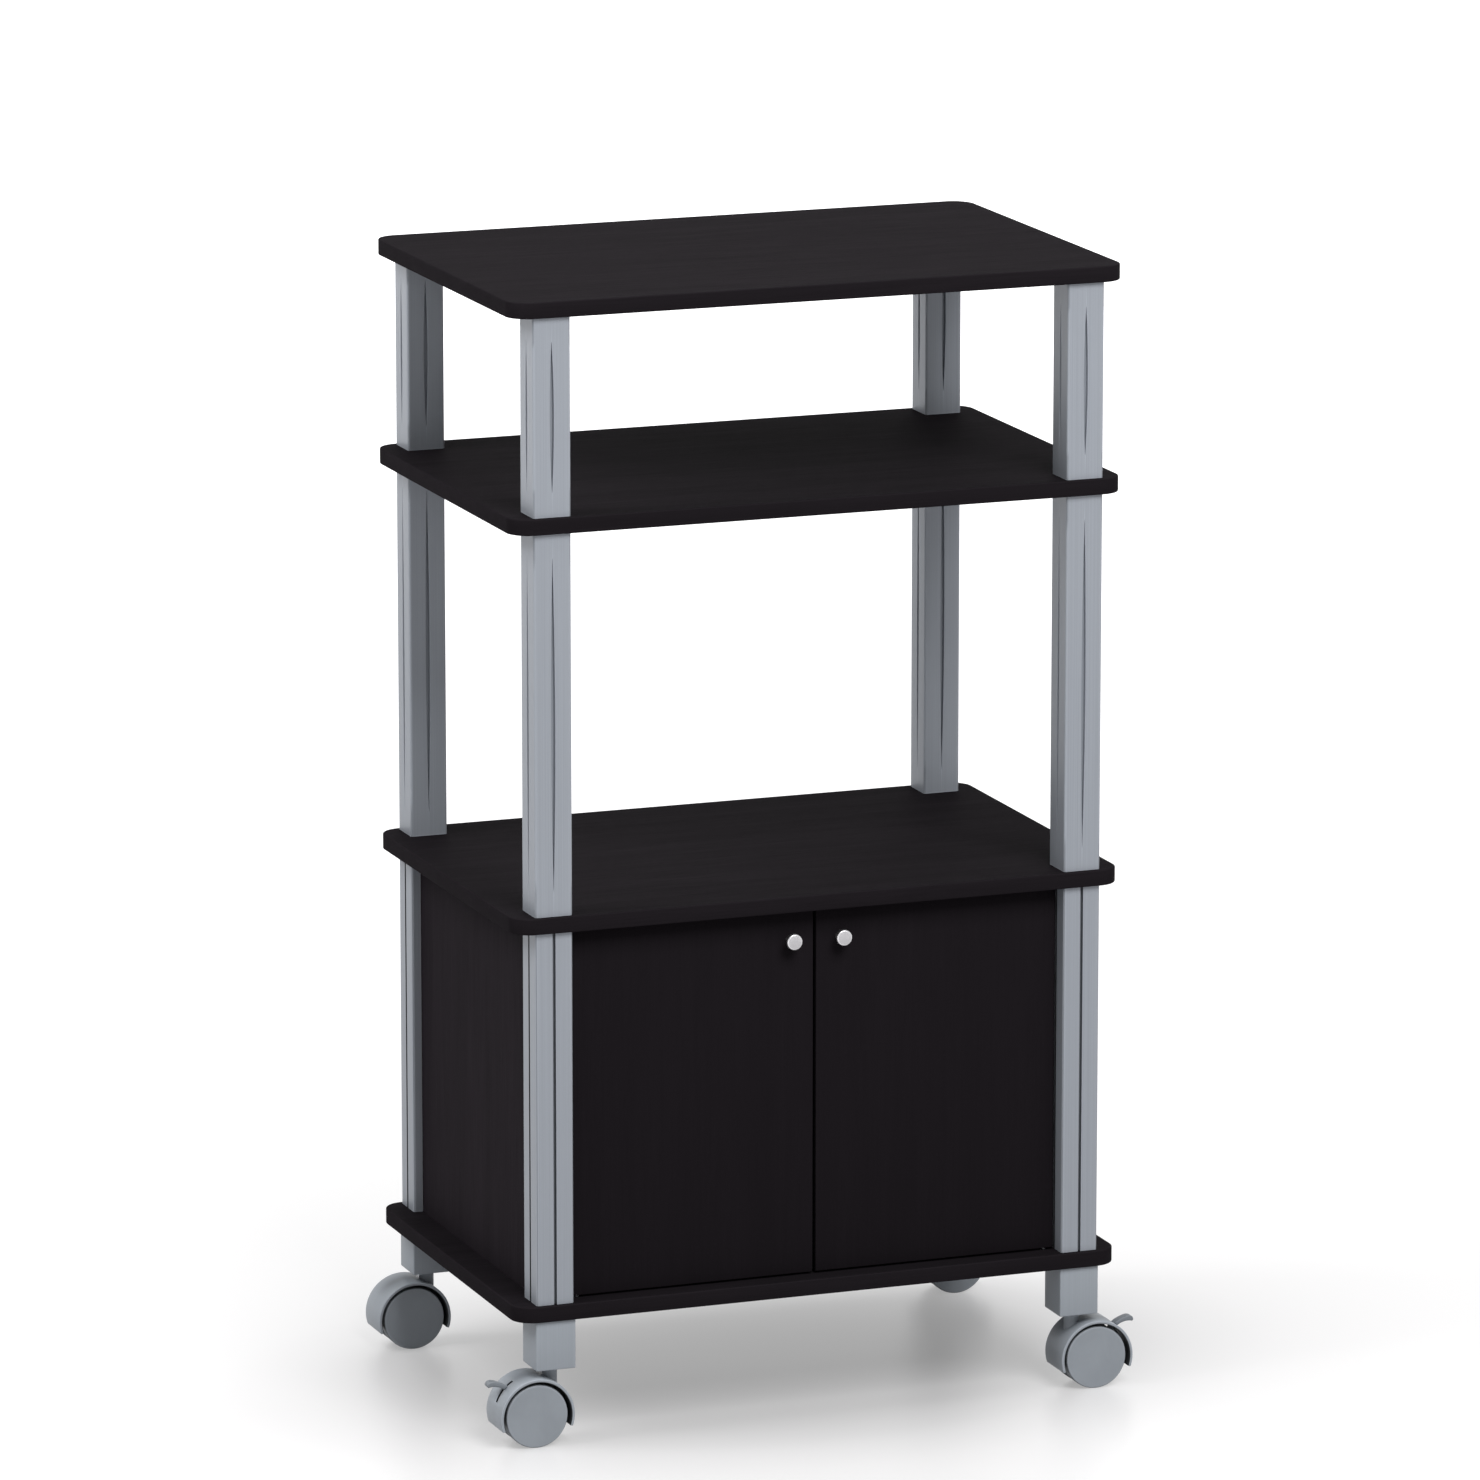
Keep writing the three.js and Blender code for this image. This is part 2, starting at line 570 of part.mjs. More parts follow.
// The housing: a hood over both wheels, a web under its leading half, the barrel of the stem and the
// arm that carries the axle. A braked one is slotted for its lever and forked round the lever's ring.
function casterHood(braked) {
  const inner = HOOD_RADIUS - HOOD_WALL;
  const skirt = HOOD_SKIRT_ANGLE;
  const roof = sector(inner, HOOD_RADIUS, -skirt, 180 + skirt);
  const hood = across(roof, HOOD_WIDTH, HOOD_CURVE, HOOD_EDGE_ROUND);
  const leadingHalf = sector(0, inner + HOOD_WALL / 2, WEB_START_ANGLE, 180 + skirt);
  const web = across(leadingHalf, WEB_THICKNESS, CASTER_CURVE);
  const barrelFoot = AXLE_HEIGHT - BARREL_BELOW_AXLE;
  const barrel = verticalCylinder(CORE_WIDTH / 2, barrelFoot, barrelTop(), ROUND_SEGMENTS);
  const arm = box(TRAIL, CORE_WIDTH - OVERRUN, AXLE_ARM_HEIGHT, TRAIL / 2, 0, AXLE_HEIGHT);
  const boss = crossCylinder(AXLE_BOSS_DIAMETER / 2, CORE_WIDTH, SMALL_SEGMENTS, TRAIL, AXLE_HEIGHT);
  const stemHoleRadius = aroundCircle(STEM_DIAMETER / 2 + STEM_CLEARANCE, SMALL_SEGMENTS);
  const stemHoleBottom = AXLE_HEIGHT - STEM_BELOW_AXLE - STEM_END_CLEARANCE;
  const holes = [
    verticalCylinder(stemHoleRadius, stemHoleBottom, barrelTop() + OVERRUN, SMALL_SEGMENTS),
    crossCylinder(axleHoleRadius(), HOOD_WIDTH, SMALL_SEGMENTS, TRAIL, AXLE_HEIGHT),
  ];
  if (braked) {
    const pocketRadius = aroundCircle(LEVER_RING_DIAMETER / 2 + LEVER_CLEARANCE, SMALL_SEGMENTS);
    const pocketWidth = LEVER_RING_WIDTH + 2 * LEVER_CLEARANCE;
    const slotWidth = LEVER_PLATE + 2 * LEVER_CLEARANCE;
    const slot = sector(inner - OVERRUN, HOOD_RADIUS + OVERRUN, LEVER_SLOT_LOW, LEVER_SLOT_HIGH);
    holes.push(
      crossCylinder(pocketRadius, pocketWidth, SMALL_SEGMENTS, TRAIL, AXLE_HEIGHT),
      across(slot, slotWidth, CASTER_CURVE),
    );
  }
  return cut(join(hood, web, barrel, arm, boss), ...holes);
}

function axleHoleRadius() {
  return aroundCircle(AXLE_DIAMETER / 2 + AXLE_CLEARANCE, SMALL_SEGMENTS);
}

// The steel stem, with the collar that the foot rests on.
function casterStem() {
  const low = AXLE_HEIGHT - STEM_BELOW_AXLE;
  const high = FOOT_BOTTOM + STEM_IN_FOOT;
  return join(
    verticalCylinder(STEM_DIAMETER / 2, low, high, SMALL_SEGMENTS),
    verticalCylinder(COLLAR_DIAMETER / 2, FOOT_BOTTOM - COLLAR_THICKNESS, FOOT_BOTTOM, ROUND_SEGMENTS),
  );
}

function casterAxle() {
  const length = 2 * (WHEEL_OUTER_FACE - WHEEL_FACE - AXLE_END_GAP);
  return crossCylinder(AXLE_DIAMETER / 2, length, SMALL_SEGMENTS, TRAIL, AXLE_HEIGHT);
}

// One wheel about the Y axis: a closed outer face, a rim, and a hub whose bore ends behind the face.
function wheel() {
  const radius = aroundCircle(WHEEL_DIAMETER / 2, WHEEL_SEGMENTS);
  const bore = aroundCircle(AXLE_DIAMETER / 2 + AXLE_CLEARANCE, WHEEL_SEGMENTS);
  const rim = radius - WHEEL_RIM;
  const hub = WHEEL_HUB_DIAMETER / 2;
  const floor = WHEEL_OUTER_FACE - WHEEL_FACE;
  const round = WHEEL_EDGE_ROUND;
  return turned(
    [
      [0, floor],
      [bore, floor],
      [bore, WHEEL_INNER_FACE],
      [hub, WHEEL_INNER_FACE],
      [hub, floor],
      [rim, floor],
      [rim, WHEEL_INNER_FACE],
      [radius, WHEEL_INNER_FACE],
      [radius, WHEEL_OUTER_FACE - round],
      [radius - round, WHEEL_OUTER_FACE],
      [0, WHEEL_OUTER_FACE],
    ],
    WHEEL_SEGMENTS,
  );
}

// The lever's thumb blade as a side view about the axle: a horn that rises from the hood and turns down.
function bladeOutline() {
  const root = HOOD_RADIUS + LEVER_CLEARANCE;
  const inside = BLADE_TIP - BLADE_TIP_THICKNESS;
  const at = (rise, degrees) => {
    const angle = radians(LEVER_ANGLE + degrees);
    return [TRAIL + (root + rise) * Math.cos(angle), AXLE_HEIGHT + (root + rise) * Math.sin(angle)];
  };
  const insideAngle = (BLADE_TIP_ANGLE + BLADE_NOSE_ANGLE) / 2;
  const shape = new THREE.Shape();
  shape.moveTo(...at(0, BLADE_ROOT_ANGLE));
  shape.quadraticCurveTo(
    ...at(BLADE_OUTER_BEND, BLADE_OUTER_BEND_ANGLE),
    ...at(BLADE_TIP, -BLADE_TIP_ANGLE),
  );
  shape.quadraticCurveTo(...at(BLADE_TIP, -BLADE_NOSE_ANGLE), ...at(inside, -insideAngle));
  shape.quadraticCurveTo(...at(BLADE_INNER_BEND, -BLADE_ROOT_ANGLE), ...at(0, -BLADE_ROOT_ANGLE));
  shape.closePath();
  return shape;
}

// The brake lever: a ring on the axle, an arm out through the hood's slot and the blade outside it.
function brakeLever() {
  const ring = crossCylinder(LEVER_RING_DIAMETER / 2, LEVER_RING_WIDTH, ROUND_SEGMENTS, TRAIL, AXLE_HEIGHT);
  const reach = HOOD_RADIUS + 2 * LEVER_CLEARANCE;
  const arm = box(reach, LEVER_PLATE, LEVER_ARM_WIDTH, reach / 2, 0, 0)
    .rotate([0, -LEVER_ANGLE, 0])
    .translate([TRAIL, 0, AXLE_HEIGHT]);
  const blade = across(bladeOutline(), LEVER_BLADE_WIDTH, CASTER_CURVE, HOOD_EDGE_ROUND);
  const bore = crossCylinder(axleHoleRadius(), HOOD_WIDTH, SMALL_SEGMENTS, TRAIL, AXLE_HEIGHT);
  return cut(join(ring, arm, blade), bore);
}

// ---------------------------------------------------------------- materials

function finish(colour, roughness, metalness) {
  return () => new THREE.MeshStandardMaterial({ color: colour, roughness, metalness });
}

const blackLaminate = finish(0x323034, 0.55, 0);
const blackPanel = finish(0x1c1a1d, 0.5, 0);
const greyPlastic = finish(0x9ba0a8, 0.45, 0.1);
const darkGreyPlastic = finish(0x92979e, 0.45, 0.05);
const steel = finish(0xa8abb0, 0.3, 1);
const satinSilver = finish(0xc8c8ca, 0.3, 0.9);
const blackPlastic = finish(0x18181a, 0.5, 0);

// ---------------------------------------------------------------- assembly

const cart = new THREE.Group();

function place(parent, name, body, material, x = 0, y = 0, z = 0) {
  const mesh = new THREE.Mesh(geometryOf(body), material());
  mesh.name = name;
  mesh.position.set(x, y, z);
  parent.add(mesh);
}

function addBoards() {
  place(cart, "top_shelf", topBoard(), blackLaminate);
  place(cart, "upper_shelf", throughBoard(UPPER_BOARD_BOTTOM), blackLaminate);
  place(cart, "microwave_shelf", microwaveBoard(), blackLaminate);
  place(cart, "base_shelf", baseBoard(), blackLaminate);
}

function addPosts() {
  for (const { name, x, y } of CORNERS) {
    const [postX, postY] = [x * POST_X, y * POST_Y];
    place(cart, `upper_post_${name}`, upperPost(), greyPlastic, postX, postY, UPPER_POST_BOTTOM);
    place(cart, `middle_post_${name}`, middlePost(), greyPlastic, postX, postY, MIDDLE_POST_BOTTOM);
    place(cart, `cabinet_post_${name}`, cabinetPost(), greyPlastic, postX, postY, CABINET_FLOOR);
    place(cart, `foot_${name}`, foot(), darkGreyPlastic, postX, postY, FOOT_BOTTOM);
  }
}

function addCabinet() {
  place(cart, "side_panel_right", sidePanel(), blackPanel);
  place(cart, "side_panel_left", sidePanel().mirror([1, 0, 0]), blackPanel);
  place(cart, "back_panel", backPanel(), blackPanel);
  place(cart, "door_catch", doorCatch(), blackPlastic);
}

function addDoors() {
  const knobX = DOOR_MIDDLE_GAP / 2 + KNOB_FROM_FREE_EDGE;
  const knobZ = CABINET_FLOOR + DOOR_END_GAP + DOOR_HEIGHT - KNOB_FROM_TOP;
  const sides = [
    { name: "left", side: -1 },
    { name: "right", side: 1 },
  ];
  for (const { name, side } of sides) {
    const handed = (body) => (side < 0 ? body.mirror([1, 0, 0]) : body);
    place(cart, `door_${name}`, handed(door()), blackPanel);
    place(cart, `strike_plate_${name}`, handed(strikePlate()), steel);
    place(cart, `knob_${name}`, knob(), satinSilver, side * knobX, DOOR_FRONT_Y, knobZ);
    for (const end of ["bottom", "top"]) {
      const pinX = side * HINGE_PIN_X;
      place(cart, `hinge_pin_${name}_${end}`, hingePin(end), steel, pinX, HINGE_PIN_Y);
    }
  }
}

// The casters trail outwards, so the left ones are turned round.
function addCasters() {
  for (const { name, x, y } of CORNERS) {
    const braked = y < 0;
    const caster = new THREE.Group();
    caster.position.set(x * POST_X, y * POST_Y, 0);
    caster.rotation.z = x < 0 ? Math.PI : 0;
    place(caster, `caster_stem_${name}`, casterStem(), steel);
    place(caster, `caster_hood_${name}`, casterHood(braked), darkGreyPlastic);
    place(caster, `caster_axle_${name}`, casterAxle(), steel);
    for (const [face, side] of [["front", -x], ["back", x]]) {
      const body = side < 0 ? wheel().mirror([0, 1, 0]) : wheel();
      place(caster, `wheel_${name}_${face}`, body, darkGreyPlastic, TRAIL, 0, AXLE_HEIGHT);
    }
    if (braked) {
      place(caster, `brake_lever_${name}`, brakeLever(), darkGreyPlastic);
    }
    cart.add(caster);
  }
}

addBoards();
addPosts();
addCabinet();
addDoors();
addCasters();

export default cart;
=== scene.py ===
"""The looks of a microwave cart: boards, posts, doors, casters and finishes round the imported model."""

import json
import math
from functools import cache

import bmesh
import bpy
from bpy.props import FloatProperty, FloatVectorProperty, PointerProperty
from bpy.types import Operator, Panel, PropertyGroup
from mathutils import Matrix, Vector

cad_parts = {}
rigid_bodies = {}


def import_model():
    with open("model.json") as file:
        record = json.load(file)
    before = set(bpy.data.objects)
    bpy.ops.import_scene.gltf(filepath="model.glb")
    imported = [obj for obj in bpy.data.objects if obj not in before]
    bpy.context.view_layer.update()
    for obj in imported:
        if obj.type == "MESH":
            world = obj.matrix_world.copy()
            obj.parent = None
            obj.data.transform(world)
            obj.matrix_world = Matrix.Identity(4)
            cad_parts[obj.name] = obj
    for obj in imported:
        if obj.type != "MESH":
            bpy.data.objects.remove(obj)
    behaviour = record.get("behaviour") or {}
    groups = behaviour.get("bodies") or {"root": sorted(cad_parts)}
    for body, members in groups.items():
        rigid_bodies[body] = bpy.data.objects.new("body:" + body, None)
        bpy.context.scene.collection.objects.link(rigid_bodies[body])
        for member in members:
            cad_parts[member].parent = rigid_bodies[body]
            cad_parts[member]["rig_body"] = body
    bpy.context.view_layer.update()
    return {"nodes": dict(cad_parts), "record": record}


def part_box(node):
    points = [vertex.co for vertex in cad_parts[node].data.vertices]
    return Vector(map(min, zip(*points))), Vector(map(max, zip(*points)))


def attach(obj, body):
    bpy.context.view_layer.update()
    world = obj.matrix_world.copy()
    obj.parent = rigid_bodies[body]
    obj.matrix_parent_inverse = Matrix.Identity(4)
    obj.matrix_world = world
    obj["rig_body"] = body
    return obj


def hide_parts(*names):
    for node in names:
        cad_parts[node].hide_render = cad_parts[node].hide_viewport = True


bl_info = {
    "name": "Microwave Cart",
    "version": (1, 0, 0),
    "blender": (4, 5, 0),
    "location": "View3D > Sidebar > Cart",
    "description": "Builds the detailed boards, posts, doors and casters of a microwave cart",
    "category": "Object",
}

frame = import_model()

MM = 0.001
CORNERS = ("front_left", "front_right", "back_left", "back_right")
SIDES = ("left", "right")
SHARP_ANGLE = math.radians(38)
CORNER_ANGLE = math.radians(50)
ARC_STEP = 1.4 * MM

# Small roundings, ends and clearances. A play is the gap on one side.
POST_END = 1.5 * MM
FLUTE_POINT = 0.3 * MM
SPIGOT_PLAY = 0.3 * MM
FOOT_CORNER = 1.5 * MM
PIN_PLAY = 0.15 * MM
KNOB_EDGE = 1.5 * MM
KNOB_BACK = 0.8 * MM
HOOD_EDGE = 0.8 * MM
STEM_EDGE = 0.3 * MM
WHEEL_BACK = 0.6 * MM
SLOT_PLAY = 0.4 * MM
BLADE_GAP = 0.4 * MM
LEVER_EDGE = 0.9 * MM


# ---------------------------------------- sizes and colours


def length(name, description, millimetres):
    return FloatProperty(
        name=name, description=description, default=millimetres * MM, min=0.0, precision=4, unit="LENGTH"
    )


def angle(name, description, degrees):
    return FloatProperty(
        name=name, description=description, default=math.radians(degrees), subtype="ANGLE"
    )


def colour(name, description, red, green, blue):
    """A colour given as it looks on a screen, from 0 to 255, and kept as linear light."""
    linear = [((c / 255 + 0.055) / 1.055) ** 2.4 for c in (red, green, blue)]
    return FloatVectorProperty(
        name=name, description=description, default=linear, size=3, min=0.0, max=1.0, subtype="COLOR"
    )


class CartSizes(PropertyGroup):
    """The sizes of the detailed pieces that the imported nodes' boxes don't give."""

    board_corner: length("Board corner", "Radius of a board's corners seen from above", 21.5)
    board_edge: length("Board edge", "Rounding of a board's upper and lower edges", 1.1)
    post_corner: length("Post corner", "Radius of a post's upright edges", 2.0)
    flute_width: length("Flute width", "Widest opening of the flutes in the upper posts", 4.1)
    flute_depth: length("Flute depth", "Depth of the flutes", 3.0)
    flute_margin: length("Flute margin", "Plain length between a flute and the post's end", 22.0)
    groove_width: length("Groove width", "Opening of the cabinet posts' grooves", 2.8)
    groove_depth: length("Groove depth", "Depth of the cabinet posts' grooves", 4.0)
    flute_lip: length("Flute lip", "Softening of a flute's edges", 0.2)
    groove_lip: length("Groove lip", "Softening of a groove's edges", 0.25)
    spigot: length("Spigot diameter", "The round plug that keys one post to the next", 22.0)
    socket: length("Socket depth", "Depth of a post's socket for the spigot below", 13.0)
    blind_bore: length("Blind bore", "Depth of the top board's bores", 11.0)
    foot_edge: length("Foot edge", "Rounding of a foot's edges", 1.2)
    door_hinge_edge: length("Door hinge edge", "Radius of a door's edge by its hinge pins", 3.0)
    door_edge: length("Door edge", "Rounding of a door's other edges", 0.9)
    hinge_pin: length("Hinge pin diameter", "Diameter of the pins the doors turn on", 5.0)
    knob_head: length("Knob head", "Thickness of a knob's disc", 5.0)
    knob_neck: length("Knob neck", "Diameter of a knob's neck", 6.8)
    knob_flare: length("Knob flare", "Fillet where the neck meets the head and the door", 0.5)
    hood_radius: length("Hood radius", "Outer radius of a caster's hood about its axle", 36.0)
    hood_wall: length("Hood wall", "Thickness of the hood", 3.0)
    hood_skirt: angle("Hood skirt", "How far the hood's ends run below the axle", 19.0)
    web: length("Web thickness", "The plate between the two wheels", 4.0)
    web_start: angle("Web start", "Where the web meets the crown of the hood", 100.0)
    core: length("Core width", "The caster's housing between its wheels", 14.0)
    arm_height: length("Arm height", "Height of the arm from the barrel to the axle", 11.0)
    barrel_drop: length("Barrel drop", "How far the stem's barrel runs below the axle", 9.0)
    stem: length("Stem diameter", "The steel stem that a caster turns on", 8.0)
    stem_bore: length("Stem bore", "Diameter of the bores for the stem", 8.3)
    collar: length("Collar", "Thickness of the stem's collar under the foot", 2.0)
    axle_bore: length("Axle bore", "Diameter of the bores for the axle", 6.2)
    axle_boss: length("Axle boss", "Diameter of the boss round the axle", 16.0)
    wheel_rim: length("Wheel rim", "Thickness of a wheel's rim", 4.0)
    wheel_face: length("Wheel face", "Thickness of a wheel's outer wall", 2.4)
    wheel_hub: length("Wheel hub", "Diameter of a wheel's hub", 13.0)
    wheel_edge: length("Wheel edge", "Rounding of a wheel's outer edge", 1.6)
    slot_low: angle("Slot low end", "Lower end of the brake lever's slot, above the horizontal", 20.0)
    slot_high: angle("Slot high end", "Upper end of the brake lever's slot", 60.0)
    lever_angle: angle("Lever angle", "Rise of the brake lever's arm", 46.0)
    lever_plate: length("Lever plate", "Thickness of the lever's arm", 3.5)
    lever_arm: length("Lever arm", "Height of the lever's arm", 5.0)
    lever_blade: length("Lever blade", "Width of the lever's thumb blade", 9.0)
    lever_ring: length("Lever ring", "Diameter of the ring on the axle", 18.0)
    ring_width: length("Ring width", "Width of the ring on the axle", 5.4)
    ring_pocket: length("Ring pocket", "Diameter of the ring's pocket in the boss", 18.8)
    pocket_width: length("Pocket width", "Width of that pocket", 6.2)


class CartColours(PropertyGroup):
    """The colours of the finishes."""

    board: colour("Boards", "Black laminate of the four boards", 29, 26, 29)
    panel: colour("Panels", "Black laminate of the side panels", 38, 34, 38)
    door: colour("Doors", "Black laminate of the doors", 27, 24, 27)
    back: colour("Back", "Hardboard of the back", 29, 27, 29)
    post: colour("Posts", "Satin silver grey of the posts", 158, 163, 171)
    caster: colour("Casters", "Moulded grey of the feet and casters", 153, 159, 166)
    steel: colour("Steel", "Zinc plated steel", 160, 162, 165)
    knob: colour("Knobs", "Satin silver of the knobs", 169, 168, 170)
    plastic: colour("Catch", "Black plastic of the door catch", 30, 30, 31)


# ---------------------------------------- finishes


# Painted shade: a recess takes this share of its finish's tone where it is darkest, at 1.
PAINTED_SHADE_TONE = 0.08
# How dark the painted shade is in these places, where most recesses are at 1.
FLUTE_FLOOR_SHADE = 0.26
FRONT_GROOVE_SHADE = 0.55
HOOD_CROWN_SHADE = 0.45
LEVER_BLADE_SHADE = 0.45


class Nodes:
    """The nodes of a material or of the world, each added with its inputs set or linked."""

    def __init__(self, owner):
        owner.use_nodes = True
        self.tree = owner.node_tree

    def fill(self, node, inputs):
        """Sets a node's inputs, by name or number, to values or links them to outputs."""
        for name, value in inputs.items():
            socket = node.inputs[name]
            if isinstance(value, bpy.types.NodeSocket):
                self.tree.links.new(value, socket)
            else:
                socket.default_value = value

    def add(self, kind, **inputs):
        """A new node, whose inputs are named with underscores for spaces."""
        node = self.tree.nodes.new(f"ShaderNode{kind}")
        self.fill(node, {name.replace("_", " "): value for name, value in inputs.items()})
        return node

    def math(self, operation, first, second):
        node = self.add("Math")
        node.operation = operation
        self.fill(node, {0: first, 1: second})
        return node.outputs["Value"]

    def background_share(self):
        """1 for rays from the camera, from gloss and through glass, and 0 for the rest."""
        rays = self.add("LightPath").outputs
        share = self.math("MAXIMUM", rays["Is Camera Ray"], rays["Is Glossy Ray"])
        return self.math("MAXIMUM", share, rays["Is Transmission Ray"])


class Finish(Nodes):
    """One material, written node by node from the object's coordinates to its shader."""

    def __init__(self, name, **settings):
        self.material = bpy.data.materials.new(name)
        super().__init__(self.material)
        self.shader = self.tree.nodes["Principled BSDF"]
        self.fill(self.shader, {name.replace("_", " "): value for name, value in settings.items()})
        self.place = self.add("TexCoord").outputs["Object"]

    def noise(self, scale, detail, roughness, distortion=0.0):
        """Noise with its own scale along each axis, in patches per metre."""
        place = self.add("Mapping", Vector=self.place, Scale=scale).outputs["Vector"]
        look = {"Detail": detail, "Roughness": roughness, "Distortion": distortion}
        return self.add("TexNoise", Vector=place, Scale=1.0, **look).outputs["Fac"]

    def attribute(self, name):
        reader = self.add("Attribute")
        reader.attribute_name = name
        return reader.outputs["Fac"]

    def rings(self, per_metre):
        """Fine rings about a turned piece's axis."""
        noise = self.add("TexNoise")
        noise.noise_dimensions = "1D"
        self.fill(noise, {"W": self.attribute("turning"), "Scale": per_metre, "Detail": 2.0})
        return noise.outputs["Fac"]

    def span(self, value, low, high, to_low, to_high):
        """The value, taken from one range to another and held within it."""
        limits = {"From Min": low, "From Max": high, "To Min": to_low, "To Max": to_high}
        return self.add("MapRange", Value=value, **limits).outputs["Result"]

    def mix(self, share, first, second):
        """Two colours, given as outputs or as values, mixed by the share."""
        node = self.add("Mix")
        node.data_type = "RGBA"
        self.fill(node, {"Factor": share, 6: first, 7: second})
        return node.outputs[2]

    def painted_shade_and_edges(self, tone, base, edge_share, edge_tone):
        """The tone with paler edges, partly wear and partly a painted highlight, and with painted shade
        in recesses.
        """
        edges = self.math("MULTIPLY", self.attribute("rim"), edge_share)
        tone = self.mix(edges, tone, shade(base, edge_tone))
        return self.mix(self.attribute("recess"), tone, shade(base, PAINTED_SHADE_TONE))

    def surface(self, colour, roughness, height, depth):
        """Links the finished colour, roughness and height, whose full depth is given in metres."""
        normal = self.add("Bump", Strength=1.0, Distance=depth, Height=height).outputs["Normal"]
        self.fill(self.shader, {"Base Color": colour, "Roughness": roughness, "Normal": normal})
        return self.material


def shade(base, factor):
    """The base colour, darker or paler, with full alpha."""
    return (*(min(1.0, part * factor) for part in base), 1.0)


def drawn_out(across, along, axis):
    """A noise scale, in patches per metre, that is drawn out along one axis."""
    scale = [across, across, across]
    scale[axis] = along
    return scale


def laminate(name, base, grain_axis, contrast, gloss):
    """Black wood-grain laminate: long soft figure, fine pores along the grain and paler edges of wear
    and painted highlight.
    """
    finish = Finish(name, Specular_IOR_Level=0.01)
    figure = finish.noise(drawn_out(42.0, 3.0, grain_axis), detail=4.0, roughness=0.6, distortion=0.6)
    pores = finish.noise(drawn_out(900.0, 14.0, grain_axis), detail=3.0, roughness=0.7, distortion=0.2)
    light, dark, deepest = (shade(base, 1.0 + share * contrast) for share in (1.0, -1.0, -1.8))
    tone = finish.mix(finish.span(figure, 0.3, 0.7, 0.0, 1.0), dark, light)
    tone = finish.mix(finish.span(pores, 0.5, 0.68, 0.0, 0.6), tone, deepest)
    tone = finish.painted_shade_and_edges(tone, base, edge_share=0.35, edge_tone=1.9)
    rough = finish.span(pores, 0.3, 0.7, gloss - 0.05, gloss + 0.09)
    height = finish.span(pores, 0.35, 0.65, 1.0, 0.0)
    return finish.surface(tone, rough, height, depth=0.04 * MM)


def satin(name, base, streak_axis, gloss, **settings):
    """Satin silver-grey: fine drawn lines along the moulding, slow drifts of tone and paler edges of
    wear and painted highlight.
    """
    finish = Finish(name, **settings)
    lines = finish.noise(drawn_out(1300.0, 3.0, streak_axis), detail=2.0, roughness=0.6)
    drift = finish.noise((9.0, 9.0, 5.0), detail=2.0, roughness=0.5)
    tone = finish.mix(finish.span(lines, 0.35, 0.65, 0.0, 1.0), shade(base, 0.94), shade(base, 1.04))
    tone = finish.mix(finish.span(drift, 0.3, 0.7, 0.0, 0.35), tone, shade(base, 0.93))
    tone = finish.painted_shade_and_edges(tone, base, edge_share=0.45, edge_tone=1.4)
    rough = finish.span(lines, 0.3, 0.7, gloss - 0.05, gloss + 0.06)
    return finish.surface(tone, rough, lines, depth=0.02 * MM)


def moulded(name, base, gloss, tread_radius=None):
    """Moulded plastic: a pebbled skin, faint flow marks, paler edges of wear and painted highlight and,
    on wheels, a tread with painted shade and worn marks.
    """
    finish = Finish(name, Specular_IOR_Level=0.25)
    pebble = finish.noise((1700.0, 1700.0, 1700.0), detail=2.0, roughness=0.5)
    flow = finish.noise((34.0, 34.0, 20.0), detail=3.0, roughness=0.55, distortion=0.5)
    tone = finish.mix(finish.span(flow, 0.3, 0.7, 0.0, 1.0), shade(base, 0.93), shade(base, 1.04))
    tone = finish.painted_shade_and_edges(tone, base, edge_share=0.5, edge_tone=1.5)
    rough = finish.span(pebble, 0.3, 0.7, gloss - 0.04, gloss + 0.07)
    if tread_radius:
        out = finish.attribute("turning")
        tread = finish.span(out, tread_radius - 0.8 * MM, tread_radius - MM / 10, 0.0, 1.0)
        marks = finish.noise((260.0, 90.0, 260.0), detail=5.0, roughness=0.7)
        worn = finish.math("MULTIPLY", tread, finish.span(marks, 0.42, 0.62, 0.0, 1.0))
        # The tread is darkened with painted shade, where it lies deep in the hood; the marks on it are
        # wear.
        tone = finish.mix(finish.math("MULTIPLY", tread, 0.8), tone, shade(base, 0.42))
        tone = finish.mix(finish.math("MULTIPLY", worn, 0.45), tone, shade(base, 0.3))
        rough = finish.math("ADD", rough, finish.math("MULTIPLY", worn, 0.2))
    return finish.surface(tone, rough, pebble, depth=0.03 * MM)


def metal(name, base, gloss, highlight_beyond=None):
    """Plated or satin metal: soft blotches, or fine rings on a turned piece with a painted highlight
    round its edge.
    """
    finish = Finish(name, Metallic=1.0)
    if highlight_beyond:
        marks = finish.rings(4200.0)
    else:
        marks = finish.noise((500.0, 500.0, 120.0), detail=4.0, roughness=0.6)
    tone = finish.mix(finish.span(marks, 0.3, 0.7, 0.0, 1.0), shade(base, 0.9), shade(base, 1.06))
    # A painted highlight: on a turned piece, a paler ring round the edge.
    if highlight_beyond:
        out = finish.attribute("turning")
        edge = finish.span(out, highlight_beyond, highlight_beyond + 0.4 * MM, 0.0, 1.0)
        tone = finish.mix(edge, tone, shade(base, 1.7))
    tone = finish.painted_shade_and_edges(tone, base, edge_share=0.4, edge_tone=1.3)
    rough = finish.span(marks, 0.3, 0.7, gloss - 0.05, gloss + 0.08)
    return finish.surface(tone, rough, marks, depth=0.01 * MM)


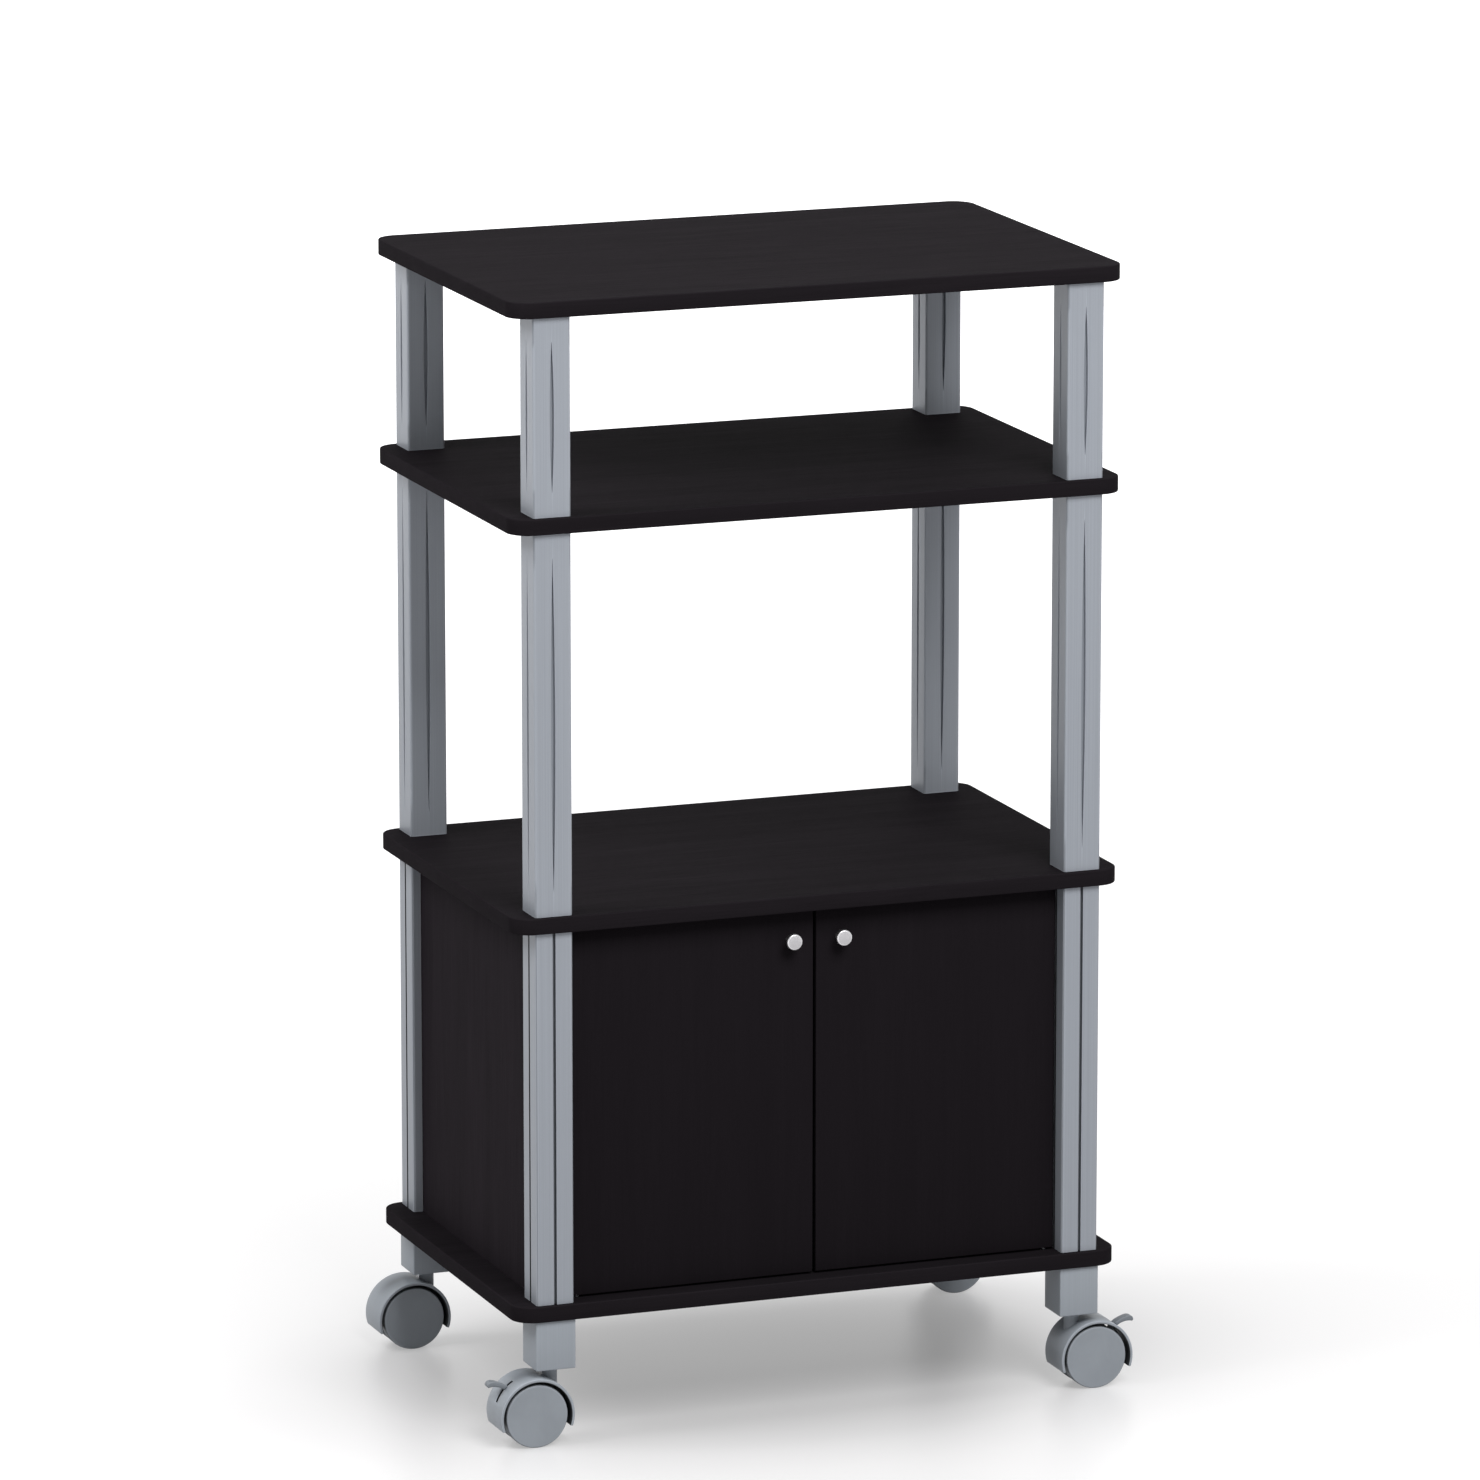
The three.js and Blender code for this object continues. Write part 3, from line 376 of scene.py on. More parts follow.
@cache
def finishes():
    """The finish of every material slot that the record names, made once."""
    colours = bpy.context.scene.cart_colours
    grain_x, grain_z = 0, 2
    knob_highlight_from = half_size("knob_left").z - KNOB_EDGE
    tread_radius = half_size("wheel_front_left_front").z
    post, caster = colours.post, colours.caster
    return {
        "black_board": laminate("board_laminate", colours.board, grain_x, 0.16, 0.7),
        "black_panel": laminate("panel_laminate", colours.panel, grain_z, 0.10, 0.66),
        "black_door": laminate("door_laminate", colours.door, grain_z, 0.08, 0.6),
        "black_back": laminate("back_hardboard", colours.back, grain_z, 0.05, 0.6),
        "grey_post": satin("post_satin", post, grain_z, 0.42, Metallic=0.1, Specular_IOR_Level=0.2),
        "grey_foot": satin("foot_satin", caster, grain_z, 0.44, Metallic=0.05, Specular_IOR_Level=0.2),
        "grey_caster": moulded("caster_plastic", caster, 0.42),
        "grey_wheel": moulded("wheel_nylon", caster, 0.4, tread_radius),
        "steel": metal("zinc_steel", colours.steel, 0.32),
        "knob_silver": metal("knob_satin", colours.knob, 0.34, knob_highlight_from),
        "catch_plastic": moulded("catch_plastic", colours.plastic, 0.5),
    }


# ---------------------------------------- mesh helpers


def verts_of(geometry):
    return [item for item in geometry if isinstance(item, bmesh.types.BMVert)]


def edges_of(geometry):
    return [item for item in geometry if isinstance(item, bmesh.types.BMEdge)]


def round_edges(bm, width, segments, chosen):
    """Rounds every edge for which chosen(edge) holds."""
    bmesh.ops.bevel(
        bm,
        geom=[edge for edge in bm.edges if chosen(edge)],
        offset=width,
        affect="EDGES",
        segments=segments,
        profile=0.5,
        material=-1,
        clamp_overlap=True,
    )


def is_corner(edge):
    """A sharp outward edge between two faces."""
    return edge.calc_face_angle_signed(0.0) > CORNER_ANGLE


def slab(bm, low, high, left_radius, right_radius, edge_round):
    """A plate or block from low to high, with rounded upright corners and softened rims."""
    size, middle = high - low, (low + high) / 2
    sheet = bmesh.ops.create_grid(bm, x_segments=1, y_segments=1, size=0.5)["verts"]
    bmesh.ops.scale(bm, vec=(size.x, size.y, 1.0), verts=sheet)
    bmesh.ops.translate(bm, vec=(middle.x, middle.y, low.z), verts=sheet)
    for radius, side in ((left_radius, -1), (right_radius, 1)):
        corners = [v for v in bm.verts if (v.co.x - middle.x) * side > size.x / 2 - MM / 10]
        bmesh.ops.bevel(
            bm,
            geom=corners,
            offset=radius,
            affect="VERTICES",
            segments=max(3, round(radius / ARC_STEP)),
            profile=0.5,
            material=-1,
        )
    raised = bmesh.ops.extrude_face_region(bm, geom=bm.faces[:])["geom"]
    bmesh.ops.translate(bm, vec=(0.0, 0.0, size.z), verts=verts_of(raised))
    bmesh.ops.recalc_face_normals(bm, faces=bm.faces)
    round_edges(bm, edge_round, 3, lambda edge: abs(edge.verts[0].co.z - edge.verts[1].co.z) < MM / 10)
    ends = [face for face in bm.faces if abs(face.normal.z) > 0.999 and len(face.verts) > 8]
    bmesh.ops.inset_region(bm, faces=ends, thickness=edge_round, use_even_offset=True)


def drum(bm, radius, depth, matrix, segments=40):
    """A closed cylinder about the matrix's z axis."""
    bmesh.ops.create_cone(
        bm, cap_ends=True, segments=segments, radius1=radius, radius2=radius, depth=depth, matrix=matrix
    )


def cylinder(bm, radius, low, high, x, y, segments=40):
    """An upright cylinder between two heights."""
    drum(bm, radius, high - low, Matrix.Translation((x, y, (low + high) / 2)), segments)


def block(bm, matrix, *size):
    """A box of the given size about the matrix's origin."""
    bmesh.ops.create_cube(bm, size=1.0, matrix=matrix @ Matrix.Diagonal((*size, 1.0)))


def chained(bm, places):
    """Vertices at the places and the edges between them."""
    chain = [bm.verts.new(place) for place in places]
    return chain + [bm.edges.new(pair) for pair in zip(chain, chain[1:])]


def spin(bm, geometry, centre, axis, turn, steps):
    """Spins vertices and edges about an axis, and returns the last ones."""
    whole = turn == math.tau
    spun = bmesh.ops.spin(
        bm,
        geom=geometry,
        cent=centre,
        axis=axis,
        dvec=(0.0, 0.0, 0.0),
        angle=turn,
        steps=steps,
        use_merge=whole,
    )
    return spun["geom_last"]


def lathe(bm, profile, centre, axis, steps=64):
    """Spins a chain of (radius, along) points about an axis through the centre, and closes its poles."""
    outward, axis = Vector((1.0, 0.0, 0.0)), Vector(axis)
    chain = chained(bm, [centre + outward * radius + axis * along for radius, along in profile])
    spin(bm, chain, centre, axis, math.tau, steps)
    bmesh.ops.remove_doubles(bm, verts=bm.verts, dist=MM / 1000)
    bmesh.ops.recalc_face_normals(bm, faces=bm.faces)


def on_circle(edge, centre, y, reach):
    """True for an edge at the given y whose ends lie beyond the reach from an axis along y."""
    return all(abs(v.co.y - y) < MM / 10 and (v.co - centre).xz.length > reach for v in edge.verts)


def placed(name, data):
    """A new object in the scene, which holds the data."""
    made = bpy.data.objects.new(name, data)
    bpy.context.scene.collection.objects.link(made)
    return made


def placed_mesh(name, bm):
    mesh = bpy.data.meshes.new(name)
    bm.to_mesh(mesh)
    bm.free()
    return placed(name, mesh)


def carved(body, cutter):
    """The body with its overlapping shells made one, less the cutter."""
    target = placed_mesh("carved_body", body)
    tool = placed_mesh("carving_tool", cutter)
    cut = target.modifiers.new("cut", "BOOLEAN")
    cut.operation = "DIFFERENCE"
    cut.solver = "EXACT"
    cut.use_self = True
    cut.object = tool
    result = bmesh.new()
    result.from_object(target, bpy.context.evaluated_depsgraph_get())
    for made in (target, tool):
        mesh = made.data
        bpy.data.objects.remove(made)
        bpy.data.meshes.remove(mesh)
    return result


def piece(bm, name, body, slot, *nodes, turned_about=None, painted_shade_at=None, wear_and_highlight_at=None):
    """Makes a finished piece of the bmesh: shading, finish and the body it rides on, and hides the
    imported nodes that it stands for.

    One keyword gives how dark the painted shade is at a place, and another where sharp edges are paler,
    partly as wear and partly as a painted highlight.
    """
    bmesh.ops.remove_doubles(bm, verts=bm.verts, dist=MM / 1000)
    # Painted shade in recesses, kept as the recess attribute.
    if painted_shade_at is not None:
        recess = bm.verts.layers.float.new("recess")
        for vert in bm.verts:
            vert[recess] = float(painted_shade_at(vert.co))
    # Paler sharp edges: partly wear and partly a painted highlight.
    rim = bm.verts.layers.float.new("rim")
    for edge in bm.edges:
        bend = edge.calc_face_angle_signed(0.0)
        edge.smooth = abs(bend) < SHARP_ANGLE
        for vert in edge.verts:
            if wear_and_highlight_at is None or wear_and_highlight_at(vert.co):
                vert[rim] = max(vert[rim], min(1.0, bend / math.radians(30)))
    if turned_about is not None:
        turning = bm.verts.layers.float.new("turning")
        for vert in bm.verts:
            away = vert.co - turned_about
            vert[turning] = math.hypot(away.x, away.z)
    for face in bm.faces:
        face.smooth = True
        face.material_index = 0
    made = placed_mesh(name, bm)
    made.data.materials.clear()
    made.data.materials.append(finishes()[slot])
    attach(made, body)
    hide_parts(*nodes)


def centre_of(node):
    low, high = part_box(node)
    return (low + high) / 2


def half_size(node):
    low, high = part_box(node)
    return (high - low) / 2


# ---------------------------------------- boards


def pin_bore(bm, side, end, play_at_ends):
    """The bore for one of the pins that a door turns on."""
    sizes = bpy.context.scene.cart_sizes
    low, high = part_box(f"hinge_pin_{side}_{end}")
    middle = (low + high) / 2
    radius = sizes.hinge_pin / 2 + PIN_PLAY
    cylinder(bm, radius, low.z - play_at_ends, high.z + play_at_ends, middle.x, middle.y, 24)


def make_board(node, height_of_bores):
    """A rounded board with the bores that its posts' spigots go through."""
    sizes = bpy.context.scene.cart_sizes
    low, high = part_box(node)
    bm = bmesh.new()
    slab(bm, low, high, sizes.board_corner, sizes.board_corner, sizes.board_edge)
    tools = bmesh.new()
    bore = sizes.spigot / 2 + SPIGOT_PLAY
    for corner in CORNERS:
        post = centre_of(f"foot_{corner}")
        cylinder(tools, bore, low.z - MM, low.z + height_of_bores, post.x, post.y)
    for side in SIDES:
        for end in ("bottom", "top"):
            pin_low, pin_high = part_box(f"hinge_pin_{side}_{end}")
            if pin_low.z < high.z and pin_high.z > low.z:
                pin_bore(tools, side, end, MM / 10)
    bm = carved(bm, tools)
    middle, half, margin = centre_of(node), half_size(node), sizes.board_corner / 3

    def near_outline(place):
        """True by the board's outline, and false at the bores, whose edges are covered."""
        away = place - middle
        return abs(away.x) > half.x - margin or abs(away.y) > half.y - margin

    piece(bm, f"{node}_board", "frame", "black_board", node, wear_and_highlight_at=near_outline)


class CART_OT_boards(Operator):
    """Makes the four rounded boards"""

    bl_idname = "cart.boards"
    bl_label = "Boards"

    def execute(self, context):
        through = 2 * half_size("base_shelf").z + MM
        for node in ("base_shelf", "microwave_shelf", "upper_shelf"):
            make_board(node, through)
        make_board("top_shelf", context.scene.cart_sizes.blind_bore)
        return {"FINISHED"}


# ---------------------------------------- posts and feet


FLUTE_STEPS = 24
NEAR_FLOOR = 0.95


def corner_arc(half, radius, steps=5):
    """The lower right corner of a square outline, as (out, across) places on the right-hand face."""
    places = []
    for step in range(steps + 1):
        turn = -math.pi / 2 + math.pi / 2 * step / steps
        out = half - radius + radius * math.cos(turn)
        across = -half + radius + radius * math.sin(turn)
        places.append((out, across))
    return places


def recessed_side(half, corner, width, depth, lip):
    """One face of a post with a steep-walled recess along its middle, whose lips are softened.

    The recess is given from its lip to its floor, for one half, and is the same on the other.
    """
    edge = width / 2
    half_recess = [
        (half, edge + 2 * lip),
        (half, edge + lip),
        (half - min(0.3 * lip, depth), edge + 0.3 * lip),
        (half - min(lip, depth), edge),
        (half - 0.9 * depth, 0.95 * edge),
        (half - depth, 0.94 * edge),
    ]
    places = corner_arc(half, corner)
    places.append((half, -half + corner + MM))
    places += [(out, -across) for out, across in half_recess]
    places += [(out, across) for out, across in reversed(half_recess)]
    places.append((half, half - corner - MM))
    return places


def flute_depth(sizes, share):
    """A flute's depth, full but at its pointed ends."""
    return sizes.flute_depth * min(1.0, 5.0 * share)


def fluted_side(half, sizes, share):
    """One face of a fluted post, where the flute has the given share of its full width."""
    width = max(sizes.flute_width * share, FLUTE_POINT)
    return recessed_side(half, sizes.post_corner, width, flute_depth(sizes, share), sizes.flute_lip)


def grooved_side(half, sizes):
    """One face of a cabinet post, grooved from end to end."""
    width, depth = sizes.groove_width, sizes.groove_depth
    return recessed_side(half, sizes.post_corner, width, depth, sizes.groove_lip)


def quarter_turns(side):
    """One face's places, repeated round the four faces of a square post."""
    for turn in range(4):
        cos, sin = round(math.cos(turn * math.pi / 2)), round(math.sin(turn * math.pi / 2))
        for out, across in side:
            yield out * cos - across * sin, out * sin + across * cos


def loft(bm, rings):
    """A closed skin through rings of (height, places), drawn up from a circle of as many points."""
    height, places = rings[0]
    places = list(places)
    made = bmesh.ops.create_circle(bm, cap_ends=False, segments=len(places), radius=1.0)
    ring = made["verts"]
    ring_edges = [edge for edge in bm.edges if edge.verts[0] in ring]
    first_edges = ring_edges
    for vert, (x, y) in zip(ring, places):
        vert.co = (x, y, height)
    for height, places in rings[1:]:
        lifted = bmesh.ops.extrude_edge_only(bm, edges=ring_edges)["geom"]
        ring_edges = edges_of(lifted)
        moved = verts_of(lifted)
        order = {(round(v.co.x, 7), round(v.co.y, 7)): v for v in moved}
        ring = [order[(round(v.co.x, 7), round(v.co.y, 7))] for v in ring]
        for vert, (x, y) in zip(ring, places):
            vert.co = (x, y, height)
    bmesh.ops.edgeloop_fill(bm, edges=first_edges)
    bmesh.ops.edgeloop_fill(bm, edges=ring_edges)
    bmesh.ops.recalc_face_normals(bm, faces=bm.faces)


def make_post(node, ceiling, fluted):
    """A post from its node's foot up to the board above, with a spigot on top and a socket below."""
    sizes = bpy.context.scene.cart_sizes
    low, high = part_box(node)
    middle = (low + high) / 2
    half = (high.x - low.x) / 2
    height = ceiling - low.z
    flute = height - 2 * sizes.flute_margin

    def share_at(z):
        along = min(1.0, max(0.0, (z - sizes.flute_margin) / flute))
        return 4 * along * (1 - along)

    def ring(z):
        side = fluted_side(half, sizes, share_at(z)) if fluted else grooved_side(half, sizes)
        return z, list(quarter_turns(side))

    stations = [0.0, POST_END, height - POST_END, height]
    if fluted:
        steps = range(FLUTE_STEPS + 1)
        stations[2:2] = [sizes.flute_margin + flute * step / FLUTE_STEPS for step in steps]
    bm = bmesh.new()
    loft(bm, [ring(z) for z in stations])
    cylinder(bm, sizes.spigot / 2, height - MM, high.z - low.z, 0.0, 0.0)
    tools = bmesh.new()
    cylinder(tools, sizes.spigot / 2 + SPIGOT_PLAY, -MM, sizes.socket, 0.0, 0.0)
    bm = carved(bm, tools)
    bmesh.ops.translate(bm, vec=(middle.x, middle.y, low.z), verts=bm.verts)

    def post_painted_shade(place):
        """How dark the painted shade in a recess is: least on a flute's floor, most in the grooves of
        the side faces.
        """
        away = place - middle
        out = max(abs(away.x), abs(away.y))
        if out < half / 2 or place.z > ceiling:
            return 0.0
        if fluted:
            floor = half - NEAR_FLOOR * flute_depth(sizes, share_at(place.z - low.z))
            return FLUTE_FLOOR_SHADE if out < floor else 0.0
        if abs(away.x) > abs(away.y):
            return float(abs(away.y) < sizes.groove_width / 2 + 1.5 * sizes.groove_lip)
        return FRONT_GROOVE_SHADE if out < half - sizes.groove_lip / 2 else 0.0

    piece(bm, f"{node}_moulding", "frame", "grey_post", node, painted_shade_at=post_painted_shade)


def make_foot(corner):
    """The square foot under the base board, bored for the caster's stem."""
    sizes = bpy.context.scene.cart_sizes
    node = f"foot_{corner}"
    low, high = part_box(node)
    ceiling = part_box("base_shelf")[0].z
    middle = (low + high) / 2
    bm = bmesh.new()
    top = Vector((high.x, high.y, ceiling))
    slab(bm, low, top, FOOT_CORNER, FOOT_CORNER, sizes.foot_edge)
    cylinder(bm, sizes.spigot / 2, ceiling - MM, high.z, middle.x, middle.y)
    stem_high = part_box(f"caster_stem_{corner}")[1]
    tools = bmesh.new()
    cylinder(tools, sizes.stem_bore / 2, low.z - MM, stem_high.z + MM / 2, middle.x, middle.y, 24)
    bm = carved(bm, tools)
    piece(bm, f"{node}_block", "frame", "grey_foot", node)


class CART_OT_posts(Operator):
    """Makes the fluted and the grooved posts"""

    bl_idname = "cart.posts"
    bl_label = "Posts"

    def execute(self, context):
        boards_above = {
            "upper_post": "top_shelf",
            "middle_post": "upper_shelf",
            "cabinet_post": "microwave_shelf",
        }
        for kind, board in boards_above.items():
            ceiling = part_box(board)[0].z
            for corner in CORNERS:
                make_post(f"{kind}_{corner}", ceiling, fluted=kind != "cabinet_post")
        return {"FINISHED"}


class CART_OT_feet(Operator):
    """Makes the four feet"""

    bl_idname = "cart.feet"
    bl_label = "Feet"

    def execute(self, context):
        for corner in CORNERS:
            make_foot(corner)
        return {"FINISHED"}


# ---------------------------------------- doors


def make_door(side):
    """A door with a fuller rounding by its hinge pins, and a hole for each pin."""
    sizes = bpy.context.scene.cart_sizes
    node = f"door_{side}"
    low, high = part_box(node)
    radii = (sizes.door_hinge_edge, sizes.door_edge)
    left_radius, right_radius = radii if side == "left" else reversed(radii)
    bm = bmesh.new()
    slab(bm, low, high, left_radius, right_radius, sizes.door_edge)
    tools = bmesh.new()
    for end in ("bottom", "top"):
        pin_bore(tools, side, end, PIN_PLAY)
    bm = carved(bm, tools)
    piece(bm, f"{node}_leaf", f"{node}_body", "black_door", node)


def make_knob(side):
    """A round knob turned about the way it points."""
    sizes = bpy.context.scene.cart_sizes
    node = f"knob_{side}"
    low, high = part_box(node)
    head = (high.z - low.z) / 2
    neck, flare = sizes.knob_neck / 2, sizes.knob_flare
    reach = high.y - low.y
    back = reach - sizes.knob_head
    foot = Vector(((low.x + high.x) / 2, high.y, (low.z + high.z) / 2))
    profile = [
        (0.0, 0.0),
        (neck + flare, 0.0),
        (neck, flare),
        (neck, back - flare),
        (neck + flare, back),
        (head, back),
        (head, reach),
        (0.0, reach),
    ]
    bm = bmesh.new()
    lathe(bm, profile, foot, (0.0, -1.0, 0.0))
    face_y, back_y = foot.y - reach, foot.y - back
    round_edges(bm, KNOB_EDGE, 4, lambda edge: on_circle(edge, foot, face_y, head - MM / 5))
    round_edges(bm, KNOB_BACK, 2, lambda edge: on_circle(edge, foot, back_y, head - MM / 5))

    # Painted shade: the neck between the knob's head and the door is made dark.
    def neck_painted_shade(place):
        return place.y > back_y - MM / 10 and (place - foot).xz.length < neck + 2 * flare

    name, body = f"{node}_turned", f"door_{side}_body"
    piece(bm, name, body, "knob_silver", node, turned_about=foot, painted_shade_at=neck_painted_shade)


class CART_OT_doors(Operator):
    """Makes the two doors and their knobs"""

    bl_idname = "cart.doors"
    bl_label = "Doors and knobs"

    def execute(self, context):
        for side in SIDES:
            make_door(side)
            make_knob(side)
        return {"FINISHED"}


# ---------------------------------------- casters


# Where the painted shade on the crown starts and how fast it deepens, by the height over the axle per
# radius.
CROWN_SHADE_START = 0.55
CROWN_SHADE_FADE = 0.3


class Caster:
    """Where one caster stands: its swivel axis, its axle and the way it trails."""

    def __init__(self, corner):
        self.corner = corner
        self.swivel = centre_of(f"caster_stem_{corner}")
        self.axle = centre_of(f"caster_axle_{corner}")
        self.trail = abs(self.axle.x - self.swivel.x)
        self.height = self.axle.z
        self.matrix = Matrix.Translation((self.swivel.x, self.swivel.y, 0.0))
        if self.axle.x < self.swivel.x:
            self.matrix = self.matrix @ Matrix.Rotation(math.pi, 4, "Z")
        self.braked = corner.startswith("front")
        self.body = f"caster_{corner}"

    @property
    def own_axle(self):
        """The axle's middle in the caster's own frame, whose x runs the way it trails."""
        return Vector((self.trail, 0.0, self.height))

    @property
    def along_axle(self):
        """The caster's own frame, moved to the axle and turned so that its z runs along it."""
        return Matrix.Translation(self.own_axle) @ Matrix.Rotation(math.pi / 2, 4, "X")

    def at(self, radius, turn, y=0.0):
        """A place in the caster's own frame, by its radius and angle about the axle."""
        return self.own_axle + Vector((radius * math.cos(turn), y, radius * math.sin(turn)))


def arc_sheet(bm, start, end, geometry, centre, step=math.radians(5)):
    """Spins edges about the axle from one angle to another, and returns the last ones."""
    steps = max(1, round((end - start) / step))
    return spin(bm, geometry, centre, (0.0, -1.0, 0.0), end - start, steps)


def hood_shell(caster, sizes):
    """The hood as a sheet spun about the axle, slotted for the lever, thickened and softened."""
    half = half_size(f"caster_hood_{caster.corner}").y
    radius, centre = sizes.hood_radius - sizes.hood_wall / 2, caster.own_axle
    slot = sizes.lever_plate / 2 + SLOT_PLAY
    bm = bmesh.new()
    start, end = -sizes.hood_skirt, math.pi + sizes.hood_skirt
    geometry = chained(bm, [caster.at(radius, start, y) for y in (-half, -slot, slot, half)])
    turns = (start, sizes.slot_low, sizes.slot_high, end)
    for first, last in zip(turns, turns[1:]):
        geometry = arc_sheet(bm, first, last, geometry, centre)
    if caster.braked:
        gone = []
        for face in bm.faces:
            away = face.calc_center_median() - centre
            turn = math.atan2(away.z, away.x)
            if abs(away.y) < slot and sizes.slot_low < turn < sizes.slot_high:
                gone.append(face)
        bmesh.ops.delete(bm, geom=gone, context="FACES")
    bmesh.ops.recalc_face_normals(bm, faces=bm.faces)
    if sum(face.normal.dot(face.calc_center_median() - centre) for face in bm.faces) < 0:
        bmesh.ops.reverse_faces(bm, faces=bm.faces)
    bmesh.ops.solidify(bm, geom=bm.faces, thickness=sizes.hood_wall)
    # both skins are put back on their true radii, which the thickening misses a little
    reach = max((vert.co - centre).xz.length for vert in bm.verts)
    for vert in bm.verts:
        away = vert.co - centre
        if away.xz.length > reach - MM:
            factor = sizes.hood_radius / away.xz.length
        else:
            factor = (sizes.hood_radius - sizes.hood_wall) / away.xz.length
        vert.co = centre + Vector((away.x * factor, away.y, away.z * factor))
    round_edges(bm, HOOD_EDGE, 3, lambda edge: edge.calc_face_angle(0.0) > CORNER_ANGLE)
    return bm


def add_web(bm, caster, sizes):
    """The plate between the two wheels: a fan from the axle out into the hood."""
    inner = sizes.hood_radius - sizes.hood_wall / 2
    places = [caster.at(radius, sizes.web_start, sizes.web / 2) for radius in (0.0, inner)]
    spoke = chained(bm, places)
    before = set(bm.faces)
    arc_sheet(bm, sizes.web_start, math.pi + sizes.hood_skirt, spoke, caster.own_axle)
    at_hub = [v for v in bm.verts if (v.co - places[0]).length < MM / 10]
    bmesh.ops.remove_doubles(bm, verts=at_hub, dist=MM / 100)
    fan = [face for face in bm.faces if face not in before]
    pulled = bmesh.ops.extrude_face_region(bm, geom=fan)["geom"]
    bmesh.ops.translate(bm, vec=(0.0, -sizes.web, 0.0), verts=verts_of(pulled))
    web_faces = [face for face in bm.faces if face not in before]
    bmesh.ops.recalc_face_normals(bm, faces=web_faces)


def make_hood(caster):
    """The caster's housing: hood, web, the stem's barrel and the arm and boss that carry the axle."""
    sizes = bpy.context.scene.cart_sizes
    node = f"caster_hood_{caster.corner}"
    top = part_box(node)[1].z
    bm = hood_shell(caster, sizes)
    add_web(bm, caster, sizes)
    cylinder(bm, sizes.core / 2, caster.height - sizes.barrel_drop, top, 0.0, 0.0, 48)
    arm = Matrix.Translation((caster.trail / 2, 0.0, caster.height))
    block(bm, arm, caster.trail, sizes.core - MM, sizes.arm_height)
    drum(bm, sizes.axle_boss / 2, sizes.core, caster.along_axle)
    tools = bmesh.new()
    stem_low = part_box(f"caster_stem_{caster.corner}")[0].z
    cylinder(tools, sizes.stem_bore / 2, stem_low - MM / 2, top + MM, 0.0, 0.0, 24)
    drum(tools, sizes.axle_bore / 2, 2 * sizes.hood_radius, caster.along_axle)
    if caster.braked:
        drum(tools, sizes.ring_pocket / 2, sizes.pocket_width, caster.along_axle)
    bm = carved(bm, tools)
    bm.transform(caster.matrix)
    slot = sizes.lever_plate / 2 + SLOT_PLAY + MM / 10
    crown = half_size(node).y - 1.2 * MM

    def hood_painted_shade(place):
        """Painted shade: dark inside the hood and in the lever's slot, with a softer painted shade over
        the crown.
        """
        away = place - caster.axle
        radius = away.xz.length
        depth = sizes.hood_radius - radius
        lever_side = away.x * (caster.axle.x - caster.swivel.x) > 0 and away.z > 0
        in_slot = caster.braked and lever_side and abs(away.y) < slot and depth > MM / 2
        if in_slot or depth > sizes.hood_wall - MM / 2:
            return 1.0
        if abs(away.y) > crown or depth < -MM / 2:
            return 0.0
        return HOOD_CROWN_SHADE * min(1.0, max(0.0, (away.z / radius - CROWN_SHADE_START) / CROWN_SHADE_FADE))

    piece(bm, f"{node}_shell", caster.body, "grey_caster", node, painted_shade_at=hood_painted_shade)


def make_wheel(caster, face):
    """One wheel: a closed outer face, a rim and a hub whose bore ends behind the face."""
    sizes = bpy.context.scene.cart_sizes
    node = f"wheel_{caster.corner}_{face}"
    low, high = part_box(node)
    outward = -1.0 if face == "front" else 1.0
    inner, outer = sorted((abs(low.y - caster.swivel.y), abs(high.y - caster.swivel.y)))
    radius = caster.height
    centre = Vector((caster.axle.x, caster.swivel.y, caster.height))
    hub, bore = sizes.wheel_hub / 2, sizes.axle_bore / 2
    rim, floor = radius - sizes.wheel_rim, outer - sizes.wheel_face
    profile = [
        (0.0, floor),
        (bore, floor),
        (bore, inner),
        (hub, inner),
        (hub, floor),
        (rim, floor),
        (rim, inner),
        (radius, inner),
        (radius, outer),
        (0.0, outer),
    ]
    bm = bmesh.new()
    lathe(bm, profile, centre, (0.0, outward, 0.0), 72)
    outer_y, inner_y = centre.y + outward * outer, centre.y + outward * inner
    tread = radius - MM / 10
    round_edges(bm, sizes.wheel_edge, 4, lambda edge: on_circle(edge, centre, outer_y, tread))
    round_edges(bm, WHEEL_BACK, 2, lambda edge: on_circle(edge, centre, inner_y, tread))
    disc = [f for f in bm.faces if abs(f.calc_center_median().y - outer_y) < MM / 20]
    bmesh.ops.inset_region(bm, faces=disc, thickness=MM, use_even_offset=True)
    piece(bm, f"{node}_nylon", f"{node}_body", "grey_wheel", node, turned_about=centre)


def make_stem(caster):
    """The steel stem with its collar under the foot."""
    sizes = bpy.context.scene.cart_sizes
    node = f"caster_stem_{caster.corner}"
    low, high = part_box(node)
    collar_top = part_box(f"foot_{caster.corner}")[0].z
    stem, collar = sizes.stem / 2, half_size(node).x
    profile = [
        (0.0, low.z),
        (stem, low.z),
        (stem, collar_top - sizes.collar),
        (collar, collar_top - sizes.collar),
        (collar, collar_top),
        (stem, collar_top),
        (stem, high.z),
        (0.0, high.z),
    ]
    bm = bmesh.new()
    lathe(bm, profile, Vector((caster.swivel.x, caster.swivel.y, 0.0)), (0.0, 0.0, 1.0), 40)
    round_edges(bm, STEM_EDGE, 2, is_corner)
    piece(bm, f"{node}_turned", "frame", "steel", node)


def bend(first, control, last, steps):
    """A curve from the first place towards the last, without the last place itself."""
    for step in range(steps):
        t = step / steps
        yield first * (1 - t) ** 2 + control * 2 * t * (1 - t) + last * t**2


